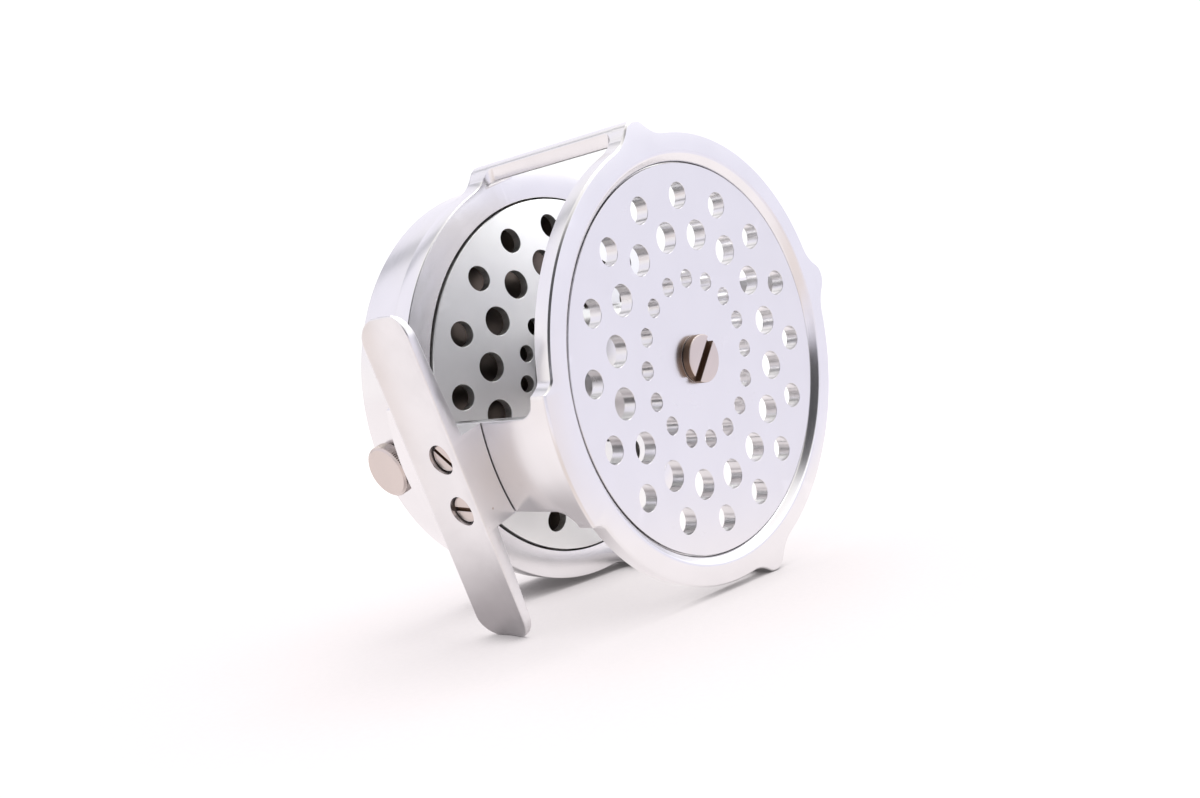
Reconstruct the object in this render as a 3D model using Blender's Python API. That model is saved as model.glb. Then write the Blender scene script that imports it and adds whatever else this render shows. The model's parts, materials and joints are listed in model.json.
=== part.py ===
"""Fly reel: a one-piece cage frame, a perforated spool, and a closed check housing on the winding side.

Every shape is drawn in reel coordinates, in millimetres: the spindle runs along +Y, away from the open
perforated face, and angles are counted from +X towards +Z. The empty "reel" then turns the whole reel
into the way it rests on a table, on the lower end of its foot and one pair of ears, with +Z up.
"""

import bmesh
import bpy
from math import acos, atan2, cos, degrees, pi, radians, sin, sqrt
from mathutils import Matrix, Vector

MM = 0.001
GAP = 0.3                       # between touching pieces
RUNNING = 0.08                  # radial clearance of a turning fit

# Cage frame: its rings, the ears that raise the pillars, and the bridge that carries the foot
FACE_Y, NEAR_RING_BACK_Y = -1.85, 1.6
FAR_RING_Y, WALL_Y, FRAME_BACK_Y = 36.7, 40.0, 41.5
RING_R, BORE_R, MOUTH_R, MOUTH_DEPTH = 44.45, 38.65, 40.2, 1.5
EAR_R, EAR_ANGLES = 47.9, (25, 115, 295)
EAR_TOP_R, EAR_ROOT_R = 3.5, 7.0            # the ear's rounded top, and the hollow at each side of it
EAR_SLOPE = acos(1 - (EAR_R - RING_R) / (EAR_TOP_R + EAR_ROOT_R))
EAR_TOP_HALF, EAR_HALF = EAR_TOP_R * sin(EAR_SLOPE), (EAR_TOP_R + EAR_ROOT_R) * sin(EAR_SLOPE)
PILLAR_IN_R, PILLAR_SINK = 44.4, 0.03
BRIDGE_R, BRIDGE_IN_R, BRIDGE_HALF, BRIDGE_END_HALF = 46.6, 43.9, 11.1, 15.6
BRIDGE_FILLET, BRIDGE_EASE = 3.6, 3.2       # in mm along the spindle, and in degrees around it
BOSS_R, BOSS_END_Y = 8.5, 45.0
BEARING_R, BEARING_FLANGE_R = 6.0, 8.0
SCREW_SHANK_R = 1.5             # of the foot's and the housing's screws
TENON_R = 1.1                   # of the posts riveted in the wall

# Spool
PLATE_R, PLATE_THICK, DISH, DISH_R = 38.1, 2.7, 1.3, 32.2
FLANGE_Y, FLANGE_THICK, FLANGE_R = 32.9, 2.0, 37.9       # its depth is that of the cone's middle
FLANGE_DISH, FLANGE_DISH_R = 2.35, 32.2
FLANGE_HUB_R, FLANGE_HUB_END = 6.8, 38.9
HOLE_RINGS = (                  # radius, hole radius, phase, sides
    (16.05, 1.8, 9.73, 8),
    (24.75, 3.0, 20.98, 10),
    (32.2, 2.6, 9.73, 10))
HOLES_PER_RING = 16
ARBOR_R, ARBOR_WALL, ARBOR_WEB = 13.5, 2.0, 3.2
SPINDLE_R, CRANK_SEAT_R, THREAD_R = 4.0, 3.0, 2.4
SPINDLE_SCREW_R, SPINDLE_SCREW_FACE, SPINDLE_SCREW_SHANK_R, SPINDLE_SCREW_LENGTH = 4.8, -0.5, 2.0, 14.0
SPINDLE_TIP = 3.4               # length of the crank nut's thread
ARBOR_PIN_R = 0.8
FLANGE_SCREW_R, FLANGE_SCREW_SHANK_R, FLANGE_SCREW_HEAD, FLANGE_SCREW_LENGTH = 1.7, 0.9, 0.9, 4.6
FLANGE_SCREWS, FLANGE_SCREW_RING = 3, 9.0

# Check housing and what it holds
HOUSING_R, HOUSING_BACK_Y, HOUSING_WALL, HOUSING_END = 43.3, 53.8, 2.4, 2.2
HOUSING_CHAMFER, HOUSING_HUB = 1.0, 1.6
HOUSING_SCREW_RING, HOUSING_SCREW_ANGLES = 36.0, (70, 160, 250, 340)
HOUSING_SCREW_R, HOUSING_SCREW_HEAD, HOUSING_SCREW_SINK, HOUSING_SCREW_BOSS_R = 2.8, 1.3, 0.1, 3.4
GEAR_TEETH, GEAR_TIP_R, GEAR_ROOT_R, GEAR_HUB_R, GEAR_Y, GEAR_THICK = 24, 11.0, 9.4, 7.6, 45.6, 3.0
REGULATOR_ANGLE, REGULATOR_Y = 205, 47.6
KNOB_R, KNOB_FACE = 5.4, 46.3
KNOB_CHAMFER, KNOB_HUB = 0.5, 1.6
STEM_R, STEM_INNER_END = 1.5, 21.0
COLLAR_R, COLLAR_THICK = 3.2, 1.8
BLOCK_ALONG, BLOCK_LENGTH = 26.5, 5.0
SPRING_OFFSET, SPRING_THICK, SPRING_TIP, SPRING_POST = 14.5, 0.4, -1.0, 35.0
PAWL_PIVOT = (16.0, 9.5)        # along and across the regulator's line, from the spindle
PAWL_HUB_R, PAWL_POST_R, PAWL_COLLAR_R, PAWL_GROOVE_R, PAWL_CLIP_R = 3.4, 1.6, 2.8, 1.0, 2.9

# Foot
FOOT_ANGLE, FOOT_WIDTH, FOOT_Y, FOOT_EDGE = 205, 13.0, 21.6, 53.6
FOOT_LOWER_END, FOOT_UPPER_END = -31.5, 32.4
FOOT_TROUGH, FOOT_TIP_THICK, FOOT_BLADE_THICK = 1.2, 1.7, 2.9
FOOT_CORNER, FOOT_CROWN = 4.6, 1.0
FOOT_SCREW_SPACING, FOOT_SCREW_Y = 10.3, 20.9
FOOT_SCREW_R, FOOT_SCREW_SEAT, FOOT_SCREW_HEAD = 2.6, 50.2, 1.6

# Crank
CRANK_ANGLE, CRANK_REACH, CRANK_Y, CRANK_THICK = 25, 29.0, 55.2, 2.6
COUNTERWEIGHT_REACH, COUNTERWEIGHT_R = 17.0, 8.0
CRANK_HUB_R, CRANK_TIP_R, WASHER_R, NUT_R = 6.4, 4.6, 5.6, 5.0
HANDLE_LENGTH, HANDLE_PIN_R, HANDLE_PIN_HEAD_R = 16.0, 1.6, 2.6


def clear_scene():
    for thing in list(bpy.data.objects):
        bpy.data.objects.remove(thing, do_unlink=True)


def metal(name, colour, roughness, metallic=1.0):
    material = bpy.data.materials.new(name)
    material.use_nodes = True
    shader = material.node_tree.nodes["Principled BSDF"]
    shader.inputs["Base Color"].default_value = (*colour, 1.0)
    shader.inputs["Roughness"].default_value = roughness
    shader.inputs["Metallic"].default_value = metallic
    return material


def empty(name, parent=None, at=(0, 0, 0)):
    holder = bpy.data.objects.new(name, None)
    bpy.context.scene.collection.objects.link(holder)
    holder.parent = parent
    holder.location = Vector(at) * MM
    return holder


def make(name, bm, material, parent):
    """A named object from a mesh drawn in millimetres."""
    bmesh.ops.recalc_face_normals(bm, faces=bm.faces)
    bmesh.ops.scale(bm, vec=(MM, MM, MM), verts=bm.verts)
    mesh = bpy.data.meshes.new(name)
    bm.to_mesh(mesh)
    bm.free()
    mesh.shade_smooth()
    mesh.set_sharp_from_angle(angle=radians(35))
    mesh.materials.append(material)
    thing = bpy.data.objects.new(name, mesh)
    bpy.context.scene.collection.objects.link(thing)
    thing.parent = parent
    return thing


def combine(target, other, how):
    """Joins another solid to the target, or cuts it away, and hides that solid."""
    step = target.modifiers.new(other.name, "BOOLEAN")
    step.operation = how
    step.solver = "EXACT"
    step.object = other
    other.hide_render = True
    other.display_type = "WIRE"


def turned(bm, profile, segments, frame=Matrix.Identity(4), start=0.0):
    """Turns a closed outline of (radius, depth) points about the depth axis, +Y of the given frame."""
    rings = []
    for radius, depth in profile:
        if radius == 0:
            rings.append([bm.verts.new(frame @ Vector((0, depth, 0)))])
            continue
        angles = [start + 2 * pi * i / segments for i in range(segments)]
        rings.append([bm.verts.new(frame @ Vector((radius * cos(a), depth, radius * sin(a))))
                      for a in angles])
    for ring, following in zip(rings, rings[1:] + rings[:1]):
        if len(ring) == 1 and len(following) == 1:
            continue
        for i in range(segments):
            j = (i + 1) % segments
            corners = [ring[i % len(ring)], ring[j % len(ring)],
                       following[j % len(following)], following[i % len(following)]]
            bm.faces.new(list(dict.fromkeys(corners)))


def rod(radius, start, end):
    """Outline of a plain solid rod for turned()."""
    return [(0, start), (radius, start), (radius, end), (0, end)]


def tube(outer, inner, start, end):
    return [(inner, start), (outer, start), (outer, end), (inner, end)]


def prism(bm, outline, low, high):
    """Extrudes an outline of (x, z) points from depth low to depth high."""
    front = [bm.verts.new((x, low, z)) for x, z in outline]
    back = [bm.verts.new((x, high, z)) for x, z in outline]
    bm.faces.new(front)
    bm.faces.new(back[::-1])
    for i in range(len(outline)):
        j = (i + 1) % len(outline)
        bm.faces.new((front[i], front[j], back[j], back[i]))


def block(bm, low, high, frame=Matrix.Identity(4)):
    """A box between two corners."""
    bmesh.ops.create_cube(bm, size=1.0, matrix=frame
                          @ Matrix.Translation((Vector(low) + Vector(high)) / 2)
                          @ Matrix.Diagonal((*(Vector(high) - Vector(low)), 1.0)))


def polar(radius, angle):
    return radius * cos(radians(angle)), radius * sin(radians(angle))


def radial_frame(angle, y):
    """A frame whose +Y points in towards the spindle, and whose +Z is the reel's +Y."""
    x, z = polar(1, angle)
    return Matrix(((z, -x, 0, 0), (0, 0, 1, y), (-x, -z, 0, 0), (0, 0, 0, 1)))


def screw(name, head_r, head_low, head_high, shank_r, shank_end, slot, frame, material, parent,
          slot_angle=0.0, segments=24):
    """A cheese-head screw whose head faces -Y of its frame, with a driver slot."""
    bm = bmesh.new()
    turned(bm, [(0, head_low), (head_r, head_low), (head_r, head_high), (shank_r, head_high),
                (shank_r, shank_end), (0, shank_end)], segments, frame)
    thing = make(name, bm, material, parent)
    width, depth = slot
    bm = bmesh.new()
    turn = frame @ Matrix.Rotation(radians(slot_angle), 4, "Y")
    block(bm, (-head_r - 1, head_low - 1, -width / 2), (head_r + 1, head_low + depth, width / 2), turn)
    combine(thing, make(name + "_slot", bm, material, parent), "DIFFERENCE")
    return thing


# The cage frame

def ring_radius(angle):
    """Outer radius of the rings: a round-topped ear at each pillar, and the wide seat of the foot."""
    for centre in EAR_ANGLES:
        off = RING_R * radians(abs((angle - centre + 180) % 360 - 180))
        if off <= EAR_TOP_HALF:
            return EAR_R - EAR_TOP_R + sqrt(EAR_TOP_R ** 2 - off ** 2)
        if off < EAR_HALF:
            return RING_R + EAR_ROOT_R - sqrt(EAR_ROOT_R ** 2 - (EAR_HALF - off) ** 2)
    off = abs((angle - FOOT_ANGLE + 180) % 360 - 180)
    rise = min(1.0, max(0.0, (BRIDGE_END_HALF + BRIDGE_EASE - off) / BRIDGE_EASE))
    return RING_R + (BRIDGE_R - RING_R) * rise ** 2


def pillar_angles(centre):
    """Angles across an ear's rounded top, which is as wide as its pillar."""
    half = degrees(EAR_TOP_HALF / RING_R)
    return [centre + half * share for share in (-1, -0.5, 0, 0.5, 1)]


def ring_angles():
    """Every six degrees, and closer where the outline rises."""
    angles = set(range(0, 360, 6))
    top, foot = (degrees(half / RING_R) for half in (EAR_TOP_HALF, EAR_HALF))
    for centre in EAR_ANGLES:
        angles = {a for a in angles if abs(a - centre) > foot + 1}
        angles |= set(pillar_angles(centre))
        flanks = [top + (foot - top) * share for share in (0.3, 0.62, 1)]
        angles |= {centre + side * flank for side in (-1, 1) for flank in flanks}
    for side in (-1, 1):
        edge = FOOT_ANGLE + side * BRIDGE_END_HALF
        angles = {a for a in angles if abs(a - edge - side) > 3}
        angles |= {edge, edge + side * BRIDGE_EASE / 2, edge + side * BRIDGE_EASE}
    return sorted(angles)


def ring_solid(bm, profile):
    """A ring whose outline points are (radius, depth), with radius None where it follows the ears."""
    loops = []
    for angle in ring_angles():
        loop = []
        for radius, depth in profile:
            x, z = polar(ring_radius(angle) if radius is None else radius, angle)
            loop.append(bm.verts.new((x, depth, z)))
        loops.append(loop)
    for loop, following in zip(loops, loops[1:] + loops[:1]):
        for i in range(len(profile)):
            j = (i + 1) % len(profile)
            bm.faces.new((loop[i], loop[j], following[j], following[i]))


def bridge_half_angle(y):
    """Half the angle of the foot's bridge: it widens in a round fillet into each ring."""
    from_ring = min(y - NEAR_RING_BACK_Y, FAR_RING_Y - y)
    if from_ring >= BRIDGE_FILLET:
        return BRIDGE_HALF
    rise = 1 - (1 - (1 - max(0.0, from_ring) / BRIDGE_FILLET) ** 2) ** 0.5
    return BRIDGE_HALF + (BRIDGE_END_HALF - BRIDGE_HALF) * rise


def bridge_solid(bm):
    fillet_steps = [BRIDGE_FILLET * share for share in (0.0, 0.07, 0.2, 0.45, 1.0)]
    depths = [0.0] + [NEAR_RING_BACK_Y + s for s in fillet_steps]
    depths += [FAR_RING_Y - s for s in fillet_steps[::-1]] + [FAR_RING_Y + 2]
    across = 6
    loops = []
    for y in depths:
        half = bridge_half_angle(y)
        angles = [FOOT_ANGLE - half + 2 * half * i / across for i in range(across + 1)]
        outline = [polar(BRIDGE_R, a) for a in angles] + [polar(BRIDGE_IN_R, a) for a in angles[::-1]]
        loops.append([bm.verts.new((x, y, z)) for x, z in outline])
    for loop, following in zip(loops, loops[1:]):
        for i in range(len(loop)):
            j = (i + 1) % len(loop)
            bm.faces.new((loop[i], loop[j], following[j], following[i]))
    bm.faces.new(loops[0])
    bm.faces.new(loops[-1][::-1])


def build_frame(parent, material):
    bm = bmesh.new()
    ring_solid(bm, [(MOUTH_R, FACE_Y), (None, FACE_Y), (None, NEAR_RING_BACK_Y),
                    (BORE_R, NEAR_RING_BACK_Y), (BORE_R, FACE_Y + MOUTH_DEPTH)])
    frame = make("frame", bm, material, parent)

    bm = bmesh.new()
    ring_solid(bm, [(BORE_R, FAR_RING_Y), (None, FAR_RING_Y), (None, FRAME_BACK_Y),
                    (BEARING_R + GAP, FRAME_BACK_Y), (BEARING_R + GAP, WALL_Y), (BORE_R, WALL_Y)])
    combine(frame, make("far_ring_and_wall", bm, material, parent), "UNION")

    bm = bmesh.new()
    turned(bm, tube(BOSS_R, BEARING_R + GAP, WALL_Y + 0.5, BOSS_END_Y), 36)
    combine(frame, make("bearing_boss", bm, material, parent), "UNION")

    bm = bmesh.new()
    bridge_solid(bm)
    combine(frame, make("foot_bridge", bm, material, parent), "UNION")

    for i, centre in enumerate(EAR_ANGLES):
        angles = pillar_angles(centre)
        outline = [polar(ring_radius(a) - PILLAR_SINK, a) for a in angles]
        outline += [polar(PILLAR_IN_R, a) for a in (angles[-1], angles[0])]
        bm = bmesh.new()
        prism(bm, outline, 0, FAR_RING_Y + 2)
        combine(frame, make(f"pillar_{i + 1}", bm, material, parent), "UNION")

    bm = bmesh.new()
    posts = (PAWL_PIVOT, (SPRING_POST, SPRING_OFFSET))
    wall_holes = [(*polar(HOUSING_SCREW_RING, angle), SCREW_SHANK_R) for angle in HOUSING_SCREW_ANGLES]
    wall_holes += [(*regulator_point(*post), TENON_R) for post in posts]
    for x, z, radius in wall_holes:
        turned(bm, rod(radius + GAP, WALL_Y - 1, FRAME_BACK_Y + 1), 16, Matrix.Translation((x, 0, z)))
    for place in foot_screw_places():
        turned(bm, rod(SCREW_SHANK_R + GAP, -BRIDGE_R - 2, -BRIDGE_IN_R + 2), 16, place)
    combine(frame, make("frame_holes", bm, material, parent), "DIFFERENCE")
    return frame


# The spool

def dish(radius):
    """Depth of the perforated plate's hollowed face."""
    return DISH * (1 - (radius / DISH_R) ** 2)


def flange_face(radius):
    """Depth of the rear flange's bulging face, which is flat where the arbor meets it."""
    return FLANGE_Y + FLANGE_DISH * (max(radius, ARBOR_R + GAP) / FLANGE_DISH_R) ** 2


def hole_cutter(name, low, high, material, parent):
    bm = bmesh.new()
    for ring_r, hole_r, phase, sides in HOLE_RINGS:
        for i in range(HOLES_PER_RING):
            x, z = polar(ring_r, phase + 360 * i / HOLES_PER_RING)
            turned(bm, rod(hole_r, low, high), sides, Matrix.Translation((x, 0, z)))
    return make(name, bm, material, parent)


def build_spool(parent, alloy, silver, steel):
    bm = bmesh.new()
    steps = (2.3, 20.4, 28.6, PLATE_R)
    face = [(r, dish(r)) for r in steps]
    back = [(r, dish(r) + PLATE_THICK) for r in steps[::-1]]
    turned(bm, face + back, 48)
    plate = make("front_plate", bm, alloy, parent)
    combine(plate, hole_cutter("plate_holes", -2, 6, alloy, parent), "DIFFERENCE")

    bm = bmesh.new()
    steps = (ARBOR_R + GAP, 20.4, 28.6, 33.5, FLANGE_R)
    face = [(r, flange_face(r)) for r in (SPINDLE_R + GAP,) + steps]
    back = [(r, flange_face(r) + FLANGE_THICK) for r in steps[::-1] + (FLANGE_HUB_R,)]
    turned(bm, face + back + [(FLANGE_HUB_R, FLANGE_HUB_END), (SPINDLE_R + GAP, FLANGE_HUB_END)], 48)
    flange = make("rear_flange", bm, alloy, parent)
    combine(flange, hole_cutter("flange_holes", FLANGE_Y - 1, WALL_Y, alloy, parent), "DIFFERENCE")

    web_y = flange_face(0) - GAP - ARBOR_WEB
    bm = bmesh.new()
    inside_r = ARBOR_R - ARBOR_WALL
    turned(bm, [(ARBOR_R, dish(ARBOR_R) + PLATE_THICK + GAP), (ARBOR_R, web_y + ARBOR_WEB),
                (SPINDLE_R + GAP, web_y + ARBOR_WEB), (SPINDLE_R + GAP, web_y),
                (inside_r, web_y), (inside_r, dish(inside_r) + PLATE_THICK + GAP)], 48)
    arbor = make("arbor", bm, alloy, parent)

    plate_back = dish(0) + PLATE_THICK + GAP
    shoulder_y, seat_end_y = HOUSING_BACK_Y + 0.6, CRANK_Y + CRANK_THICK + GAP
    bore_r, bore_end = SPINDLE_SCREW_SHANK_R + GAP, plate_back + SPINDLE_SCREW_LENGTH + 1.0
    bm = bmesh.new()
    turned(bm, [(0, bore_end), (bore_r, bore_end), (bore_r, plate_back),
                (SPINDLE_R, plate_back), (SPINDLE_R, shoulder_y), (CRANK_SEAT_R, shoulder_y),
                (CRANK_SEAT_R, seat_end_y), (THREAD_R, seat_end_y), (THREAD_R, seat_end_y + SPINDLE_TIP),
                (0, seat_end_y + SPINDLE_TIP)], 24)
    spindle = make("spindle", bm, steel, parent)

    across = Matrix.Translation((0, web_y + ARBOR_WEB / 2, 0)) @ Matrix.Rotation(pi / 2, 4, "X")
    pin_end = ARBOR_R - 0.7
    bm = bmesh.new()
    turned(bm, rod(ARBOR_PIN_R, -pin_end, pin_end), 12, across)
    make("arbor_pin", bm, steel, parent)
    bm = bmesh.new()
    turned(bm, rod(ARBOR_PIN_R + GAP, -ARBOR_R - 1, ARBOR_R + 1), 12, across)
    cutter = make("arbor_pin_hole", bm, steel, parent)
    combine(arbor, cutter, "DIFFERENCE")
    combine(spindle, cutter, "DIFFERENCE")

    screw("spindle_screw", SPINDLE_SCREW_R, SPINDLE_SCREW_FACE, dish(0) - GAP / 2, SPINDLE_SCREW_SHANK_R,
          plate_back + SPINDLE_SCREW_LENGTH, (1.8, 1.3), Matrix.Identity(4), silver, parent,
          slot_angle=-60, segments=36)
    build_flange_screws(parent, flange, arbor, steel)


def build_flange_screws(parent, flange, arbor, steel):
    """The screws that hold the far flange on the arbor, and their seats in both."""
    seat_r, seat_depth = FLANGE_SCREW_R + GAP, FLANGE_SCREW_HEAD + GAP / 2
    bore_r, bore_depth = FLANGE_SCREW_SHANK_R + GAP, FLANGE_SCREW_LENGTH + 1.0
    for i in range(FLANGE_SCREWS):
        x, z = polar(FLANGE_SCREW_RING, 360 * i / FLANGE_SCREWS)
        head_y = flange_face(FLANGE_SCREW_RING) + FLANGE_THICK - 0.1
        place = Matrix.Translation((x, head_y, z)) @ Matrix.Rotation(pi, 4, "X")
        screw(f"flange_screw_{i + 1}", FLANGE_SCREW_R, 0.0, FLANGE_SCREW_HEAD, FLANGE_SCREW_SHANK_R,
              FLANGE_SCREW_LENGTH, (0.5, 0.4), place, steel, parent, segments=12)
        bm = bmesh.new()
        turned(bm, [(0, -1), (seat_r, -1), (seat_r, seat_depth), (bore_r, seat_depth),
                    (bore_r, bore_depth), (0, bore_depth)], 12, place)
        cutter = make(f"flange_screw_seat_{i + 1}", bm, steel, parent)
        combine(flange, cutter, "DIFFERENCE")
        combine(arbor, cutter, "DIFFERENCE")


# The check housing

def regulator_point(along, across):
    """A point of the check work, from the spindle outwards along the regulator's line and across it."""
    out = polar(along, REGULATOR_ANGLE)
    side = polar(across, REGULATOR_ANGLE - 90)
    return out[0] + side[0], out[1] + side[1]


def build_housing(parent, material):
    inside_r, inside_y = HOUSING_R - HOUSING_WALL, HOUSING_BACK_Y - HOUSING_END
    open_y, hub_y, bore_r = FRAME_BACK_Y + GAP, inside_y - HOUSING_HUB, BEARING_R + GAP
    bm = bmesh.new()
    turned(bm, [(inside_r, open_y), (HOUSING_R, open_y), (HOUSING_R, HOUSING_BACK_Y - HOUSING_CHAMFER),
                (HOUSING_R - HOUSING_CHAMFER, HOUSING_BACK_Y), (bore_r, HOUSING_BACK_Y), (bore_r, hub_y),
                (BOSS_R, hub_y), (BOSS_R, inside_y), (inside_r, inside_y)], 60)
    housing = make("check_housing", bm, material, parent)
    places = [Matrix.Translation((x, 0, z))
              for x, z in (polar(HOUSING_SCREW_RING, angle) for angle in HOUSING_SCREW_ANGLES)]
    for i, place in enumerate(places):
        bm = bmesh.new()
        turned(bm, rod(HOUSING_SCREW_BOSS_R, open_y, inside_y + 0.5), 16, place)
        combine(housing, make(f"screw_boss_{i + 1}", bm, material, parent), "UNION")
    bm = bmesh.new()
    shank_r, seat_r = SCREW_SHANK_R + GAP, HOUSING_SCREW_R + GAP
    seat_y = HOUSING_BACK_Y - HOUSING_SCREW_SINK - HOUSING_SCREW_HEAD - GAP
    for place in places:
        turned(bm, [(0, open_y - 1), (shank_r, open_y - 1), (shank_r, seat_y),
                    (seat_r, seat_y), (seat_r, HOUSING_BACK_Y + 1), (0, HOUSING_BACK_Y + 1)], 16, place)
    turned(bm, rod(STEM_R + GAP, -HOUSING_R - 2, -inside_r + 2), 16,
           radial_frame(REGULATOR_ANGLE, REGULATOR_Y))
    combine(housing, make("housing_holes", bm, material, parent), "DIFFERENCE")
    return housing


def build_bearings(parent, brass):
    bore, proud = SPINDLE_R + RUNNING, 0.2
    flange_low, flange_high = FLANGE_HUB_END + GAP / 2, WALL_Y - GAP
    bm = bmesh.new()
    turned(bm, [(bore, flange_low), (BEARING_FLANGE_R, flange_low), (BEARING_FLANGE_R, flange_high),
                (BEARING_R, flange_high), (BEARING_R, BOSS_END_Y + proud), (bore, BOSS_END_Y + proud)], 24)
    make("front_bearing", bm, brass, parent)
    bm = bmesh.new()
    start = HOUSING_BACK_Y - HOUSING_END - HOUSING_HUB + proud
    turned(bm, tube(BEARING_R, bore, start, HOUSING_BACK_Y + proud), 24)
    make("rear_bearing", bm, brass, parent)


def build_check_gear(parent, brass):
    bm = bmesh.new()
    outline = []
    half_pitch, half_tip = 180 / GEAR_TEETH, 0.9
    for i in range(GEAR_TEETH):
        root = REGULATOR_ANGLE - 90 + 360 * i / GEAR_TEETH
        outline.append(polar(GEAR_ROOT_R, root))
        outline += [polar(GEAR_TIP_R, root + half_pitch + side * half_tip) for side in (-1, 1)]
    prism(bm, outline, GEAR_Y, GEAR_Y + GEAR_THICK)
    gear = make("check_gear", bm, brass, parent)
    bm = bmesh.new()
    turned(bm, rod(SPINDLE_R + GAP, GEAR_Y - 1, GEAR_Y + GEAR_THICK + 3), 24)
    cutter = make("gear_bore", bm, brass, parent)
    bm = bmesh.new()
    turned(bm, tube(GEAR_HUB_R, SPINDLE_R + 0.2, GEAR_Y + GEAR_THICK - 0.5, GEAR_Y + GEAR_THICK + 1.0), 24)
    combine(gear, make("gear_hub", bm, brass, parent), "UNION")
    combine(gear, cutter, "DIFFERENCE")


def build_pawl(work, reel, steel, brass):
    """The lever pawl, drawn about its pivot in the regulator's own directions, with its post and clip."""
    low, high = GEAR_Y + 0.2, GEAR_Y + GEAR_THICK - 0.2
    along, across = PAWL_PIVOT
    nose = [(-0.15, GEAR_ROOT_R + 0.5), (0.15, GEAR_ROOT_R + 0.5)]
    lever = nose + [(1.0, GEAR_TIP_R + 0.5), (3.2, GEAR_TIP_R + 0.6), (11.5, 10.4), (13.0, 8.0)]
    hub = [(along + PAWL_HUB_R * cos(radians(a)), across + PAWL_HUB_R * sin(radians(a)))
           for a in range(-150, 111, 20)]
    back = [(12.0, 13.3), (-1.6, 13.8), (-1.9, 12.4), (-1.0, GEAR_TIP_R + 0.5)]
    outline = [(p - along, q - across) for p, q in lever + hub + back]
    bm = bmesh.new()
    prism(bm, [regulator_point(p, q) for p, q in outline], low, high)
    pawl = make("pawl", bm, steel, work)
    bm = bmesh.new()
    turned(bm, rod(PAWL_POST_R + RUNNING, low - 1, high + 1), 24)
    combine(pawl, make("pawl_bore", bm, steel, work), "DIFFERENCE")

    x, z = regulator_point(*PAWL_PIVOT)
    place = Matrix.Translation((x, 0, z))
    collar_y = FRAME_BACK_Y + GAP / 2
    bm = bmesh.new()
    turned(bm, [(0, WALL_Y + GAP), (TENON_R, WALL_Y + GAP), (TENON_R, collar_y), (PAWL_COLLAR_R, collar_y),
                (PAWL_COLLAR_R, low - 0.2), (PAWL_POST_R, low - 0.2), (PAWL_POST_R, high + 0.3),
                (PAWL_GROOVE_R, high + 0.3), (PAWL_GROOVE_R, high + 1.2), (PAWL_POST_R, high + 1.2),
                (PAWL_POST_R, high + 1.8), (0, high + 1.8)], 16, place)
    make("pawl_post", bm, steel, reel)
    bm = bmesh.new()
    turned(bm, tube(PAWL_CLIP_R, PAWL_GROOVE_R + 0.15, high + 0.45, high + 1.05), 16, place)
    clip = make("pawl_clip", bm, steel, reel)
    bm = bmesh.new()
    block(bm, (0, high, -0.8), (4, high + 2, 0.8), place)
    combine(clip, make("clip_mouth", bm, steel, reel), "DIFFERENCE")


def build_spring(reel, steel):
    low, high = GEAR_Y + 0.3, GEAR_Y + GEAR_THICK - 0.3
    half = SPRING_THICK / 2
    top = SPRING_OFFSET + half
    tip = [(SPRING_TIP - 2.2, top), (SPRING_TIP - 2.2, SPRING_OFFSET - half), (SPRING_TIP - 0.6, 14.1),
           (SPRING_TIP + 0.6, 14.1), (SPRING_TIP + 2.2, SPRING_OFFSET - half)]
    outline = tip + [(SPRING_POST + 2.6, SPRING_OFFSET - half), (SPRING_POST + 2.6, top)]
    bm = bmesh.new()
    prism(bm, [regulator_point(p, q) for p, q in outline], low, high)
    make("check_spring", bm, steel, reel)

    x, z = regulator_point(SPRING_POST, SPRING_OFFSET)
    post_r, collar_y = 2.2, FRAME_BACK_Y + GAP / 2
    bm = bmesh.new()
    turned(bm, [(0, WALL_Y + GAP), (TENON_R, WALL_Y + GAP), (TENON_R, collar_y), (post_r, collar_y),
                (post_r, high + 1.0), (0, high + 1.0)], 16, Matrix.Translation((x, 0, z)))
    post = make("spring_post", bm, steel, reel)
    slot_half = half + GAP
    bm = bmesh.new()
    corners = [(SPRING_POST - 4, SPRING_OFFSET - slot_half), (SPRING_POST + 4, SPRING_OFFSET - slot_half),
               (SPRING_POST + 4, SPRING_OFFSET + slot_half), (SPRING_POST - 4, SPRING_OFFSET + slot_half)]
    prism(bm, [regulator_point(p, q) for p, q in corners], low - 0.3, high + 3)
    combine(post, make("spring_slot", bm, steel, reel), "DIFFERENCE")


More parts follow.
